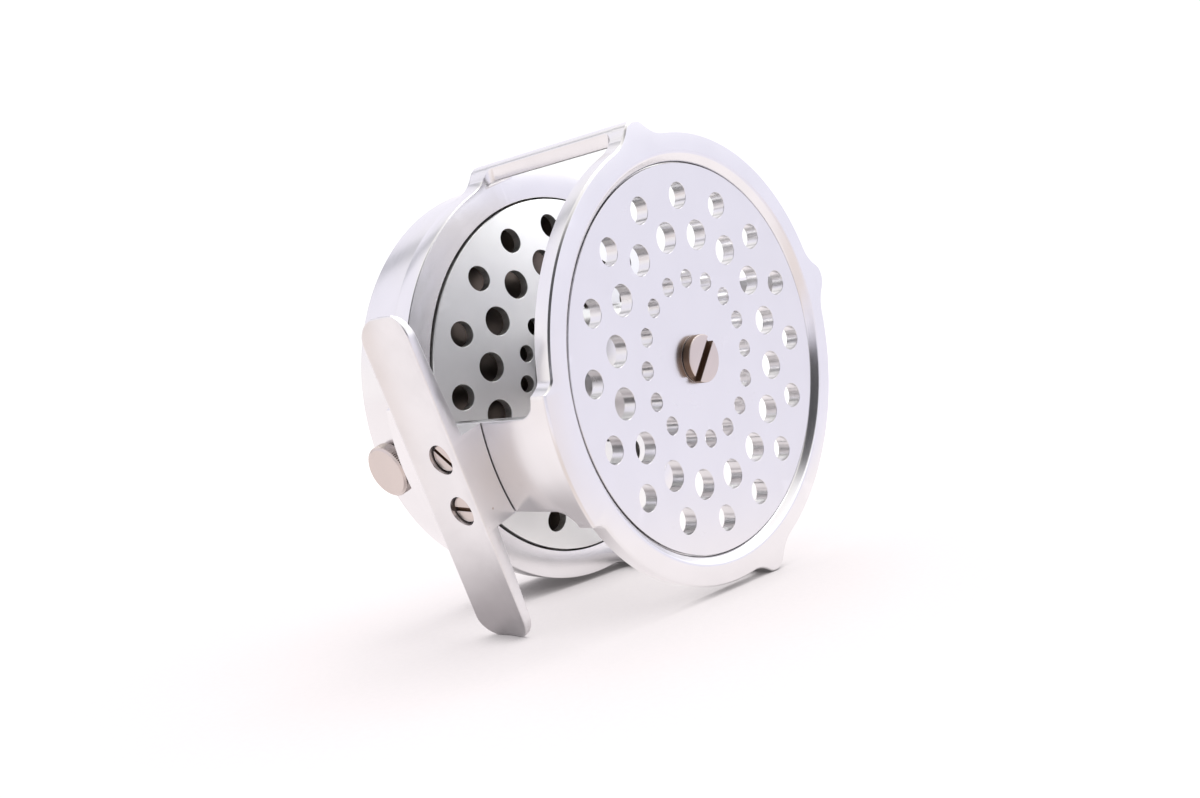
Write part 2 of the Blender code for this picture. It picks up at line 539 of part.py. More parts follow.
def build_regulator(axis, block_holder, silver, steel, brass):
    """The knob, its screw and collar, which turn, and the tension block, which the screw draws inwards."""
    frame = radial_frame(REGULATOR_ANGLE, 0)
    base = HOUSING_R + GAP
    bm = bmesh.new()
    turned(bm, [(0, -KNOB_FACE), (KNOB_R - KNOB_CHAMFER, -KNOB_FACE), (KNOB_R, -KNOB_FACE + KNOB_CHAMFER),
                (KNOB_R, -base), (STEM_R + GAP, -base), (STEM_R + GAP, -base - KNOB_HUB),
                (0, -base - KNOB_HUB)], 24, frame)
    make("regulator_knob", bm, silver, axis)
    bm = bmesh.new()
    turned(bm, rod(STEM_R, -base - KNOB_HUB + GAP, -STEM_INNER_END), 16, frame)
    make("regulator_screw", bm, steel, axis)
    collar_out = HOUSING_R - HOUSING_WALL - GAP - 0.4
    bm = bmesh.new()
    turned(bm, tube(COLLAR_R, STEM_R + GAP, -collar_out, -collar_out + COLLAR_THICK), 24, frame)
    make("regulator_collar", bm, brass, axis)

    inner, outer = -BLOCK_ALONG - BLOCK_LENGTH, -BLOCK_ALONG
    bm = bmesh.new()
    block(bm, (-3.6, inner, -2.9), (SPRING_OFFSET + 2.6, outer, 3.0), frame)
    tension_block = make("tension_block", bm, brass, block_holder)
    bm = bmesh.new()
    turned(bm, rod(STEM_R + GAP, inner - 1, outer + 1), 16, frame)
    slot_half = SPRING_THICK / 2 + GAP
    block(bm, (SPRING_OFFSET - slot_half, inner - 1, -2.1),
          (SPRING_OFFSET + slot_half, outer + 1, 4.0), frame)
    combine(tension_block, make("block_openings", bm, brass, block_holder), "DIFFERENCE")


def build_housing_screws(parent, silver):
    face_y = HOUSING_BACK_Y - HOUSING_SCREW_SINK
    for i, angle in enumerate(HOUSING_SCREW_ANGLES):
        x, z = polar(HOUSING_SCREW_RING, angle)
        place = Matrix.Translation((x, face_y, z)) @ Matrix.Rotation(pi, 4, "X")
        screw(f"housing_screw_{i + 1}", HOUSING_SCREW_R, 0.0, HOUSING_SCREW_HEAD, SCREW_SHANK_R,
              face_y - WALL_Y - GAP, (0.8, 0.7), place, silver, parent, slot_angle=20 + 55 * i, segments=16)


# The foot

def foot_outline():
    """How far in from either end of the foot its stations lie, and half its width there."""
    half = FOOT_WIDTH / 2
    stations = []
    for i in range(5):
        turn = radians(90 * i / 4)
        width = half - FOOT_CORNER * (1 - sin(turn))
        stations.append((FOOT_CROWN * (width / half) ** 2 + FOOT_CORNER * (1 - cos(turn)), width))
    return stations


def foot_section(width, thick):
    """Points across the foot, and their depth below its edges: a hollow outer face and a flat inner one."""
    steps = 5
    across = [-width + 2 * width * i / steps for i in range(steps + 1)]
    half = FOOT_WIDTH / 2
    outer = [(a, FOOT_TROUGH * (1 - (a / half) ** 2)) for a in across]
    return outer + [(a, max(thick, FOOT_TROUGH * (1 - (a / half) ** 2) + 0.5)) for a in across[::-1]]


def foot_screw_places():
    """Frames on the foot screws' axes, as radial_frame gives them."""
    middle = radial_frame(FOOT_ANGLE, FOOT_SCREW_Y)
    return [middle @ Matrix.Translation((side * FOOT_SCREW_SPACING / 2, 0, 0)) for side in (-1, 1)]


def build_foot(parent, material):
    frame = radial_frame(FOOT_ANGLE, FOOT_Y) @ Matrix.Translation((0, -FOOT_EDGE, 0))
    pedestal_half = BRIDGE_R * sin(radians(BRIDGE_HALF))
    tip = foot_outline()
    stations = [(FOOT_LOWER_END + inward, width) for inward, width in tip]
    stations += [(side * pedestal_half, FOOT_WIDTH / 2) for side in (-1, 1)]
    stations += [(FOOT_UPPER_END - inward, width) for inward, width in tip[::-1]]
    bm = bmesh.new()
    loops = []
    for t, width in stations:
        end = FOOT_UPPER_END if t > 0 else FOOT_LOWER_END
        share = min(1.0, (end - t) / (end - pedestal_half * (1 if t > 0 else -1)))
        thick = FOOT_TIP_THICK + (FOOT_BLADE_THICK - FOOT_TIP_THICK) * share
        loops.append([bm.verts.new(frame @ Vector((t, depth, across)))
                      for across, depth in foot_section(width, thick)])
    for loop, following in zip(loops, loops[1:]):
        for i in range(len(loop)):
            j = (i + 1) % len(loop)
            bm.faces.new((loop[i], loop[j], following[j], following[i]))
    bm.faces.new(loops[0])
    bm.faces.new(loops[-1][::-1])
    foot = make("foot", bm, material, parent)

    bm = bmesh.new()
    block(bm, (-pedestal_half, FOOT_BLADE_THICK - 0.8, -FOOT_WIDTH / 2),
          (pedestal_half, FOOT_EDGE - BRIDGE_R + 1.5, FOOT_WIDTH / 2), frame)
    combine(foot, make("foot_pedestal", bm, material, parent), "UNION")

    bm = bmesh.new()
    turned(bm, rod(BRIDGE_R + GAP / 2, FOOT_Y - FOOT_WIDTH, FOOT_Y + FOOT_WIDTH), 96,
           start=radians(FOOT_ANGLE))
    combine(foot, make("foot_saddle", bm, material, parent), "DIFFERENCE")

    seat, outside, inside = GAP / 2 - FOOT_SCREW_SEAT, -FOOT_EDGE - 2, -BRIDGE_R + 2
    seat_r, shank_r = FOOT_SCREW_R + GAP, SCREW_SHANK_R + GAP
    bm = bmesh.new()
    for place in foot_screw_places():
        turned(bm, [(0, outside), (seat_r, outside), (seat_r, seat), (shank_r, seat), (shank_r, inside),
                    (0, inside)], 24, place)
    combine(foot, make("foot_screw_seats", bm, material, parent), "DIFFERENCE")
    return foot


def build_foot_screws(parent, silver):
    for i, (place, slot_angle) in enumerate(zip(foot_screw_places(), (-86, -43))):
        screw(f"foot_screw_{i + 1}", FOOT_SCREW_R, -FOOT_SCREW_SEAT - FOOT_SCREW_HEAD, -FOOT_SCREW_SEAT,
              SCREW_SHANK_R, -BRIDGE_IN_R + 0.6, (0.7, 0.7), place, silver, parent, slot_angle=slot_angle)


# The crank

def arc(position, radius, start, end, step):
    """Points of an arc around a place along the arm."""
    angles = [radians(a) for a in range(start, end + 1, step)]
    return [(position + radius * cos(a), radius * sin(a)) for a in angles]


def arm_outline(tail, hub, tip, step=20):
    """Outline around three circles (place along the arm, radius), with straight flanks between them."""
    return (arc(*tail, 90, 270, step) + arc(*hub, 230, 310, step)
            + arc(*tip, -90, 90, step) + arc(*hub, 50, 130, step))


def build_crank(spool, handle_axis, alloy, silver, steel, black):
    turn = Matrix.Rotation(-radians(CRANK_ANGLE), 4, "Y")
    bm = bmesh.new()
    outline = arm_outline((-COUNTERWEIGHT_REACH, COUNTERWEIGHT_R), (0, CRANK_HUB_R),
                          (CRANK_REACH, CRANK_TIP_R))
    prism(bm, outline, CRANK_Y, CRANK_Y + CRANK_THICK)
    bm.transform(turn)
    crank = make("crank", bm, alloy, spool)
    bm = bmesh.new()
    turned(bm, rod(CRANK_SEAT_R + GAP, CRANK_Y - 1, CRANK_Y + CRANK_THICK + 1), 24)
    turned(bm, rod(HANDLE_PIN_R + GAP, CRANK_Y - 1, CRANK_Y + CRANK_THICK + 1), 16,
           turn @ Matrix.Translation((CRANK_REACH, 0, 0)))
    combine(crank, make("crank_holes", bm, alloy, spool), "DIFFERENCE")

    nut_y = CRANK_Y + CRANK_THICK + GAP + 0.15
    bm = bmesh.new()
    thread_end = nut_y + SPINDLE_TIP + GAP
    turned(bm, [(THREAD_R + GAP, nut_y), (NUT_R, nut_y), (NUT_R, nut_y + 2.6), (0.7 * NUT_R, nut_y + 4.2),
                (0, nut_y + 4.8), (0, thread_end), (THREAD_R + GAP, thread_end)], 24)
    make("crank_nut", bm, silver, spool)
    bm = bmesh.new()
    turned(bm, tube(WASHER_R, CRANK_SEAT_R + GAP, HOUSING_BACK_Y + 0.75, CRANK_Y - GAP / 2), 24)
    make("crank_washer", bm, steel, spool)

    low, rivet_y = CRANK_Y + CRANK_THICK, CRANK_Y - GAP / 2
    start, end = low + GAP, low + HANDLE_LENGTH + GAP
    head_y, head_end = end + GAP, end + 1.2
    bm = bmesh.new()
    turned(bm, [(0, CRANK_Y - 0.5), (HANDLE_PIN_HEAD_R, CRANK_Y - 0.5), (HANDLE_PIN_HEAD_R, rivet_y),
                (HANDLE_PIN_R, rivet_y), (HANDLE_PIN_R, head_y), (HANDLE_PIN_HEAD_R, head_y),
                (HANDLE_PIN_HEAD_R, head_end), (0, head_end)], 24)
    make("handle_spindle", bm, steel, handle_axis["fixed"])
    bore = HANDLE_PIN_R + RUNNING
    bm = bmesh.new()
    turned(bm, [(bore, start), (3.4, start), (4.0, start + 0.8), (4.1, start + 5), (4.9, end - 3.5),
                (5.0, end - 1.6), (4.3, end), (bore, end)], 24)
    make("handle_knob", bm, black, handle_axis["turning"])


def shown_points(thing):
    """World positions of an object's corners, with its modifiers."""
    shown = thing.evaluated_get(bpy.context.evaluated_depsgraph_get())
    return [shown.matrix_world @ corner.co for corner in shown.data.vertices]


def rest_tilt(foot, frame):
    """Angle of the line under the foot's lower tip and the lowest ear, on which the reel rests."""
    lowest_ear = EAR_ANGLES[-1]
    near_ear = [p for p in shown_points(frame)
                if abs(atan2(p.z, p.x) % (2 * pi) - radians(lowest_ear)) < EAR_HALF / RING_R]
    tips = [p for p in shown_points(foot) if p.z < 0]
    return min(max(atan2(ear.z - tip.z, ear.x - tip.x) for tip in tips) for ear in near_ear)


def stand_on_floor(reel):
    """Moves the reel so that the middle of its box's underside is the origin."""
    bpy.context.view_layer.update()
    points = []
    for thing in bpy.data.objects:
        if thing.type == "MESH" and not thing.hide_render:
            points += shown_points(thing)
    for axis, middle in ((0, True), (1, True), (2, False)):
        values = [p[axis] for p in points]
        reel.location[axis] -= (min(values) + max(values)) / 2 if middle else min(values)
    bpy.context.view_layer.update()


def main():
    clear_scene()
    alloy = metal("satin_aluminium", (0.83, 0.83, 0.86), 0.32)
    silver = metal("nickel_silver", (0.66, 0.60, 0.57), 0.35)
    steel = metal("steel", (0.55, 0.55, 0.56), 0.35)
    brass = metal("brass", (0.72, 0.55, 0.28), 0.4)
    black = metal("black_handle", (0.03, 0.03, 0.03), 0.35, metallic=0.0)

    reel = empty("reel")
    spool = empty("spool_axis", reel)
    x, z = regulator_point(*PAWL_PIVOT)
    pawl_axis = empty("pawl_axis", reel, (x, 0, z))
    regulator_axis = empty("regulator_axis", reel, (0, REGULATOR_Y, 0))
    block_axis = empty("block_axis", reel, (0, REGULATOR_Y, 0))
    x, z = polar(CRANK_REACH, CRANK_ANGLE)
    handle = {"fixed": empty("handle_spindle_axis", spool, (x, 0, z)),
              "turning": empty("handle_axis", spool, (x, 0, z))}

    frame = build_frame(reel, alloy)
    build_housing(reel, alloy)
    build_bearings(reel, brass)
    foot = build_foot(reel, alloy)
    build_foot_screws(reel, silver)
    build_housing_screws(reel, silver)
    build_spool(spool, alloy, silver, steel)
    build_check_gear(spool, brass)
    build_pawl(pawl_axis, reel, steel, brass)
    build_spring(reel, steel)
    build_regulator(regulator_axis, block_axis, silver, steel, brass)
    build_crank(spool, handle, alloy, silver, steel, black)
    bpy.context.view_layer.update()
    reel.rotation_euler = (0, rest_tilt(foot, frame), 0)
    stand_on_floor(reel)


main()
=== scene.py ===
"""Looks of the fly reel: fine surfaces, materials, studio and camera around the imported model.

Shapes are drawn in reel coordinates, in millimetres: the spindle runs along +Y, away from the open
perforated face, and angles are counted in degrees from +X towards +Z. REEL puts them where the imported
model stands, in metres.
"""

import json
from math import acos, atan2, cos, degrees, pi, radians, sin, sqrt, tan

import bmesh
import bpy
from mathutils import Matrix, Vector


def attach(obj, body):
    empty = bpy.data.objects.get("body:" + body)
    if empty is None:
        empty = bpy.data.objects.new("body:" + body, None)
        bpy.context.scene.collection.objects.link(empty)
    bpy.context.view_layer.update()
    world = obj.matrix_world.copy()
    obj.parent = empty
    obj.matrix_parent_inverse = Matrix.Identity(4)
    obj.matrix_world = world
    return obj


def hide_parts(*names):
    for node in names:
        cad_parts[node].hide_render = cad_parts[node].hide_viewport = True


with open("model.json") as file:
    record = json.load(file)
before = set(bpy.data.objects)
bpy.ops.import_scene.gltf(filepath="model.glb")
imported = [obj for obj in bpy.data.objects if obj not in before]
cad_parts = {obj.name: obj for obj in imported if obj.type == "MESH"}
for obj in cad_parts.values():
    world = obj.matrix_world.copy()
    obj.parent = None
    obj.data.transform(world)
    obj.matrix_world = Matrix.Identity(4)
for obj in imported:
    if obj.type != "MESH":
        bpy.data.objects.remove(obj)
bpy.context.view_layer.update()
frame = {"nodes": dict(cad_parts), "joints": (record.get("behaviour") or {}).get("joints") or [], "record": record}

MM = 0.001
SHARP = 32                                  # degrees between faces above which their edge stays sharp
GAP = 0.3                                   # clearance between pieces
PROUD = 0.012                               # how far bars stand above the rims that they merge with

# Cage frame: its rings, the ears that raise the pillars, and the bridge that carries the foot
FACE_Y, NEAR_RING_BACK_Y = -1.85, 1.6
FAR_RING_Y, WALL_Y, FRAME_BACK_Y = 36.7, 40.0, 41.5
RING_R, BORE_R, MOUTH_R = 44.45, 38.65, 40.2
EAR_R, EAR_ANGLES = 47.9, (25, 115, 295)
EAR_TOP_R, EAR_ROOT_R = 3.5, 7.0            # the ear's rounded top, and the hollow at each side of it
EAR_SLOPE = acos(1 - (EAR_R - RING_R) / (EAR_TOP_R + EAR_ROOT_R))
EAR_TOP_HALF, EAR_HALF = EAR_TOP_R * sin(EAR_SLOPE), (EAR_TOP_R + EAR_ROOT_R) * sin(EAR_SLOPE)
PILLAR_HALF, PILLAR_IN_R, PILLAR_FILLET = 2.2, 44.3, 2.0
BRIDGE_R, BRIDGE_IN_R, BRIDGE_HALF, BRIDGE_END_HALF = 46.6, 43.9, 11.1, 15.6
BRIDGE_FILLET, BRIDGE_EASE = 3.6, 3.2
BOSS_R, BOSS_END_Y, BEARING_R = 8.5, 45.0, 6.0

# Spool
PLATE_R, PLATE_THICK, DISH, DISH_R = 38.45, 2.7, 1.3, 32.2
FLANGE_Y, FLANGE_THICK, FLANGE_R = 32.9, 2.0, 38.2       # its depth is that of the cone's middle
FLANGE_DISH, FLANGE_HUB_R, FLANGE_HUB_END = 2.35, 6.8, 38.9
HOLE_RINGS = ((16.05, 1.8, 9.73), (24.75, 3.0, 20.98), (32.2, 2.6, 9.73))    # ring, hole, first angle
HOLES_PER_RING, HOLE_BEVEL = 16, 0.05
ARBOR_R, ARBOR_WALL, SPINDLE_R = 13.5, 2.0, 4.0
SPINDLE_SCREW_R, SPINDLE_SHANK_R, SPINDLE_SCREW_FACE, SPINDLE_SCREW_END = 4.8, 2.0, -0.5, 18.0
SPINDLE_SLOT, SPINDLE_SLOT_ANGLE = (1.8, 1.3), -60

# Check housing
HOUSING_R, HOUSING_BACK_Y, HOUSING_WALL, HOUSING_END = 43.3, 53.8, 2.4, 2.2
HOUSING_SCREW_RING, HOUSING_SCREW_ANGLES, HOUSING_SCREW_R = 36.0, (70, 160, 250, 340), 2.8
SHANK_R = 1.5                               # of the housing's and the foot's screws
SLOT = (0.8, 0.7)                           # width and depth of their slots
REGULATOR_ANGLE, REGULATOR_Y = 205, 47.6
KNOB_R, KNOB_FACE, STEM_R = 5.4, 46.3, 1.5
KNURL_TEETH = 72

# Foot
FOOT_ANGLE, FOOT_WIDTH, FOOT_Y, FOOT_EDGE = 205, 13.0, 21.6, 53.6
FOOT_LOWER_LENGTH, FOOT_UPPER_LENGTH = 31.5, 32.4
FOOT_TROUGH, FOOT_TIP_THICK, FOOT_BLADE_THICK = 1.2, 1.7, 2.9
FOOT_CORNER, FOOT_CROWN, FOOT_LIP = 3.4, 1.0, 0.3
FOOT_SCREW_SPACING, FOOT_SCREW_Y = 10.3, 20.9
FOOT_SCREW_R, FOOT_SCREW_FACE, FOOT_SCREW_SEAT = 2.6, 51.8, 50.2

# Crank
CRANK_ANGLE, CRANK_REACH, CRANK_Y, CRANK_THICK = 25, 29.0, 55.2, 2.6
COUNTERWEIGHT_REACH, COUNTERWEIGHT_R, CRANK_HUB_R, CRANK_TIP_R, CRANK_BORE_R = 17.0, 8.0, 6.4, 4.6, 3.3
WASHER_R, NUT_R, NUT_Y = 5.6, 5.0, 58.25
HANDLE_LENGTH, HANDLE_PIN_R, HANDLE_PIN_HEAD_R = 16.0, 1.6, 2.6


def reel_matrix():
    """Places reel coordinates in the world, from the spindle's joint and the foot's seat."""
    spindle = next(j for j in frame["joints"] if j["name"] == "spool_spin")
    seat = next(m for m in frame["record"]["mounts"] if m["name"] == "foot_seat")
    tilt = radians(FOOT_ANGLE) - atan2(seat["axis"][2], seat["axis"][0]) % (2 * pi)
    return Matrix.Translation(spindle["pos_m"]) @ Matrix.Rotation(tilt, 4, "Y")


REEL = reel_matrix()
SPINDLE = REEL.translation


# Drawing

def polar(radius, angle):
    """X and Z of a place round the spindle."""
    return radius * cos(radians(angle)), radius * sin(radians(angle))


def radial_frame(angle, y):
    """A frame whose +Y points in towards the spindle, and whose +Z is the reel's +Y."""
    x, z = polar(1, angle)
    return Matrix(((z, -x, 0, 0), (0, 0, 1, y), (-x, -z, 0, 0), (0, 0, 0, 1)))


def at(x, y, z):
    return Matrix.Translation((x, y, z))


def rounded(points, radii, steps=4):
    """A closed outline with rounded corners. radii is one number, or one for each corner."""
    outline = []
    for i, point in enumerate(points):
        radius = radii[i] if isinstance(radii, (list, tuple)) else radii
        corner = Vector(point)
        before, after = Vector(points[i - 1]) - corner, Vector(points[(i + 1) % len(points)]) - corner
        half = before.angle(after) / 2
        if radius == 0 or half > 1.5:
            outline.append(tuple(corner))
            continue
        reach = min(radius / tan(half), 0.48 * before.length, 0.48 * after.length)
        radius = reach * tan(half)
        before.normalize()
        after.normalize()
        centre = corner + (before + after).normalized() * (radius / sin(half))
        start, end = corner + before * reach - centre, corner + after * reach - centre
        sweep = -start.angle_signed(end)
        for step in range(steps + 1):
            outline.append(tuple(centre + Matrix.Rotation(sweep * step / steps, 2) @ start))
    return outline


def loft(bm, loops, closed=False):
    """Skins equal loops of points, in a row with capped ends or all the way round."""
    rows = [[bm.verts.new(p) for p in loop] for loop in loops]
    pairs = list(zip(rows, rows[1:])) + ([(rows[-1], rows[0])] if closed else [])
    for row, following in pairs:
        for i in range(len(row)):
            j = (i + 1) % len(row)
            bm.faces.new((row[i], row[j], following[j], following[i]))
    if not closed:
        bm.faces.new(rows[0])
        bm.faces.new(rows[-1][::-1])


def turned(bm, profile, segments, place=Matrix.Identity(4), wave=None):
    """Turns a closed outline of (radius, depth) about the depth axis, +Y of the given frame.
    wave gives a radius to add at a segment and a profile point, as on a knurl."""
    rings = []
    for index, (radius, depth) in enumerate(profile):
        if radius < 1e-6:
            rings.append([bm.verts.new(place @ Vector((0, depth, 0)))])
            continue
        ring = []
        for i in range(segments):
            x, z = polar(radius + (wave(i, index) if wave else 0), 360 * i / segments)
            ring.append(bm.verts.new(place @ Vector((x, depth, z))))
        rings.append(ring)
    for ring, following in zip(rings, rings[1:] + rings[:1]):
        if len(ring) == 1 and len(following) == 1:
            continue
        for i in range(segments):
            j = (i + 1) % segments
            corners = [ring[i % len(ring)], ring[j % len(ring)],
                       following[j % len(following)], following[i % len(following)]]
            bm.faces.new(list(dict.fromkeys(corners)))


def smooth_but_sharp(mesh, sharp=SHARP):
    mesh.shade_smooth()
    mesh.set_sharp_from_angle(angle=radians(sharp))


def mesh_object(name, bm, material=None, local=None, sharp=SHARP):
    """An object from a mesh drawn in millimetres, in reel coordinates or in a local frame within them,
    which the object then keeps as its own."""
    bmesh.ops.recalc_face_normals(bm, faces=bm.faces)
    bmesh.ops.scale(bm, vec=(MM, MM, MM), verts=bm.verts)
    if local is None:
        bm.transform(REEL)
    mesh = bpy.data.meshes.new(name)
    bm.to_mesh(mesh)
    bm.free()
    smooth_but_sharp(mesh, sharp)
    if material:
        mesh.materials.append(material)
    thing = bpy.data.objects.new(name, mesh)
    bpy.context.scene.collection.objects.link(thing)
    if local is not None:
        moved = local.copy()
        moved.translation = local.translation * MM
        thing.matrix_world = REEL @ moved
    return thing


def cut(target, cutter):
    """Cuts a closed mesh out of the target for good, and marks the new edges."""
    step = target.modifiers.new("cut", "BOOLEAN")
    step.operation, step.solver, step.object = "DIFFERENCE", "EXACT", cutter
    bpy.context.view_layer.update()
    made = bpy.data.meshes.new_from_object(target.evaluated_get(bpy.context.evaluated_depsgraph_get()))
    target.modifiers.remove(step)
    old, target.data = target.data, made
    made.name = old.name
    bpy.data.meshes.remove(old)
    bpy.data.objects.remove(cutter)
    smooth_but_sharp(made)


def second_material(thing, material, chosen):
    """Gives the polygons that chosen picks, by middle and normal, a second material."""
    thing.data.materials.append(material)
    for polygon in thing.data.polygons:
        if chosen(polygon.center, polygon.normal):
            polygon.material_index = 1


def piece(thing, body, slot, *nodes):
    """Hands a finished object to the frame: what it rides on and what it stands for. slot, its finish, is not
    used.
    """
    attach(thing, body)
    if nodes:
        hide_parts(*nodes)
    return thing


# Materials

BUMP_HEIGHT = 0.02 * MM


class Nodes:
    """A short way to write a node tree, a material's or the world's."""

    def __init__(self, owner):
        owner.use_nodes = True
        self.owner, self.tree = owner, owner.node_tree

    def add(self, kind, inputs=None, **settings):
        node = self.tree.nodes.new(kind)
        for key, value in settings.items():
            setattr(node, key, value)
        for key, value in (inputs or {}).items():
            self.put(node.inputs[key], value)
        return node

    def put(self, socket, value):
        if isinstance(value, bpy.types.NodeSocket):
            self.tree.links.new(value, socket)
        else:
            socket.default_value = value

    def place(self):
        return self.add("ShaderNodeTexCoord").outputs["Object"]

    def parts(self, vector):
        return self.add("ShaderNodeSeparateXYZ", {0: vector}).outputs

    def seen(self):
        """1 where the camera looks straight at the surface, 0 in its reflections and its light."""
        return self.add("ShaderNodeLightPath").outputs["Is Camera Ray"]

    def math(self, operation, a, b=0.0):
        return self.add("ShaderNodeMath", {0: a, 1: b}, operation=operation).outputs[0]

    def times(self, a, b):
        return self.math("MULTIPLY", a, b)

    def vector(self, operation, a, b=(0, 0, 0), output="Vector"):
        return self.add("ShaderNodeVectorMath", {0: a, 1: b}, operation=operation).outputs[output]

    def span(self, value, low, high, to_low=0.0, to_high=1.0):
        return self.add("ShaderNodeMapRange", {0: value, 1: low, 2: high, 3: to_low, 4: to_high},
                        interpolation_type="SMOOTHSTEP").outputs[0]

    def noise(self, place, scale, detail=2.0, rough=0.5):
        return self.add("ShaderNodeTexNoise", {"Vector": place, "Scale": scale, "Detail": detail,
                                               "Roughness": rough}).outputs[0]

    def mix(self, share, a, b):
        return self.add("ShaderNodeMix", {0: share, 6: a, 7: b}, data_type="RGBA").outputs[2]

    def blotched(self, place, scale, colour, by):
        """The colour, up to a share by darker and lighter in soft blotches."""
        return self.mix(self.span(self.noise(place, scale, 3.0), 0.35, 0.65), tint(colour, 1 - by),
                        tint(colour, 1 + by))

    def brighter_edges(self, base, colour, share):
        """Convex edges a little brighter."""
        edges = self.span(self.add("ShaderNodeNewGeometry").outputs["Pointiness"], 0.52, 0.62)
        return self.mix(self.times(edges, share), base, tint(colour, 1.12))

    def bump(self, height, strength):
        return self.add("ShaderNodeBump", {"Height": height, "Strength": strength,
                                           "Distance": BUMP_HEIGHT}).outputs[0]

    def shade(self, **values):
        shader = self.tree.nodes["Principled BSDF"]
        for key, value in values.items():
            self.put(shader.inputs[key.replace("_", " ")], value)
        return self.owner


def new_material(name):
    return Nodes(bpy.data.materials.new(name))


def tint(colour, factor):
    return (*(c * factor for c in colour[:3]), 1.0)


def turned_metal(name, colour, roughness, centre=(0, 0, 0), groove=2600.0, depth=0.12, mottle=0.02):
    """Metal faced in a lathe: fine rings about an axis along Y, faint blotches, and slightly brighter edges."""
    n = new_material(name)
    place = n.vector("SUBTRACT", n.place(), centre)
    x, y, z = n.parts(place)
    radius = n.math("SQRT", n.math("ADD", n.times(x, x), n.times(z, z)))
    rings = n.noise(n.add("ShaderNodeCombineXYZ", {0: radius, 1: y}).outputs[0], groove, 3.0, 0.6)
    grain = n.noise(place, 2400.0)
    smudge = n.noise(place, 210.0, 4.0, 0.65)
    rough = n.math("ADD", n.span(smudge, 0.3, 0.7, roughness - 0.02, roughness + 0.02),
                   n.span(rings, 0.3, 0.7, -0.02, 0.02))
    height = n.math("ADD", n.times(rings, 0.5), n.times(grain, 0.2))
    base = n.brighter_edges(n.blotched(place, 90.0, colour, mottle), colour, 0.35)
    return n.shade(Base_Color=base, Metallic=1.0, Roughness=rough, Normal=n.bump(height, depth))


def brushed_metal(name, colour, roughness, scuffs=True):
    """Metal rubbed along its own X: long fine scratches, and a few brown specks."""
    n = new_material(name)
    place = n.place()
    lines = n.noise(n.vector("MULTIPLY", place, (60.0, 3200.0, 3200.0)), 1.0, 3.0, 0.6)
    rough = n.span(n.noise(place, 260.0, 4.0, 0.65), 0.3, 0.7, roughness - 0.04, roughness + 0.05)
    base = n.blotched(place, 120.0, colour, 0.025)
    if scuffs:
        cells = n.add("ShaderNodeTexVoronoi", {"Vector": place, "Scale": 420.0, "Randomness": 1.0})
        speck = n.span(cells.outputs["Distance"], 0.06, 0.12, 1.0, 0.0)
        some = n.span(n.noise(place, 75.0), 0.60, 0.66)
        base = n.mix(n.times(n.times(speck, some), 0.6), base, SPECK)
    base = n.brighter_edges(base, colour, 0.4)
    return n.shade(Base_Color=base, Metallic=1.0, Roughness=rough, Normal=n.bump(lines, 0.10))


def ebonite():
    """Hard black rubber with a faint brown swirl."""
    n = new_material("ebonite")
    place = n.place()
    swirl = n.noise(place, 160.0, 5.0, 0.6)
    base = n.mix(n.span(swirl, 0.4, 0.7), (0.012, 0.012, 0.013, 1), (0.035, 0.030, 0.028, 1))
    rough = n.span(n.noise(place, 700.0, 3.0), 0.3, 0.7, 0.22, 0.34)
    return n.shade(Base_Color=base, Roughness=rough, Normal=n.bump(n.noise(place, 1800.0), 0.05))


ALLOY = (0.76, 0.755, 0.765, 1.0)
# the rear flange's alloy: its own greener tone, and lighter as painted light where it sits deep in the spool
DISHED_ALLOY = (0.845, 0.86, 0.85, 1.0)
# painted shade: a dark alloy for the end wall behind the flange, so the spool's holes read black
UNLIT_ALLOY = (0.20, 0.17, 0.15, 1.0)
SILVER = (0.62, 0.555, 0.525, 1.0)
# painted shade: a dark brown for the screws' slots and the sides of their heads
SCREW_SHADE_COLOUR = (0.22, 0.15, 0.11, 1.0)
SPECK = (0.40, 0.29, 0.22, 1.0)
alloy = turned_metal("turned_aluminium", tint(ALLOY, 1.03), 0.225, SPINDLE, depth=0.08, mottle=0.012)
# painted shade for the end wall behind the flange
shaded_alloy = turned_metal("unlit_aluminium", UNLIT_ALLOY, 0.35, SPINDLE)
# painted shade for the screws' slots and the sides of their heads
screw_shade = brushed_metal("painted_shade_silver", SCREW_SHADE_COLOUR, 0.45, scuffs=False)
plate_alloy = turned_metal("faced_aluminium", ALLOY, 0.24, SPINDLE, depth=0.05, mottle=0.008)
# partly painted light: the flange's alloy is lighter than the rest
flange_alloy = turned_metal("dished_aluminium", DISHED_ALLOY, 0.40, SPINDLE, depth=0.06, mottle=0.02)
foot_alloy = brushed_metal("brushed_aluminium", ALLOY, 0.34)
silver = turned_metal("turned_nickel_silver", SILVER, 0.33, groove=3200.0, depth=0.2)
plain_silver = brushed_metal("satin_nickel_silver", SILVER, 0.33, scuffs=False)
steel = brushed_metal("machined_steel", (0.52, 0.52, 0.53, 1.0), 0.30, scuffs=False)
brass = brushed_metal("machined_brass", (0.70, 0.52, 0.26, 1.0), 0.30, scuffs=False)
black = ebonite()


# The cage frame

def angle_off(angle, centre):
    """Degrees between two places round the spindle, either way."""
    return abs((angle - centre + 180) % 360 - 180)


def rim(angle):
    """Outer radius of the rings: a round-topped ear at each pillar, and the wide seat of the foot."""
    for centre in EAR_ANGLES:
        off = RING_R * radians(angle_off(angle, centre))
        if off <= EAR_TOP_HALF:
            return EAR_R - EAR_TOP_R + sqrt(EAR_TOP_R ** 2 - off ** 2)
        if off < EAR_HALF:
            return RING_R + EAR_ROOT_R - sqrt(EAR_ROOT_R ** 2 - (EAR_HALF - off) ** 2)
    off = angle_off(angle, FOOT_ANGLE)
    rise = min(1.0, max(0.0, (BRIDGE_END_HALF + BRIDGE_EASE - off) / BRIDGE_EASE))
    return RING_R + (BRIDGE_R - RING_R) * rise ** 2


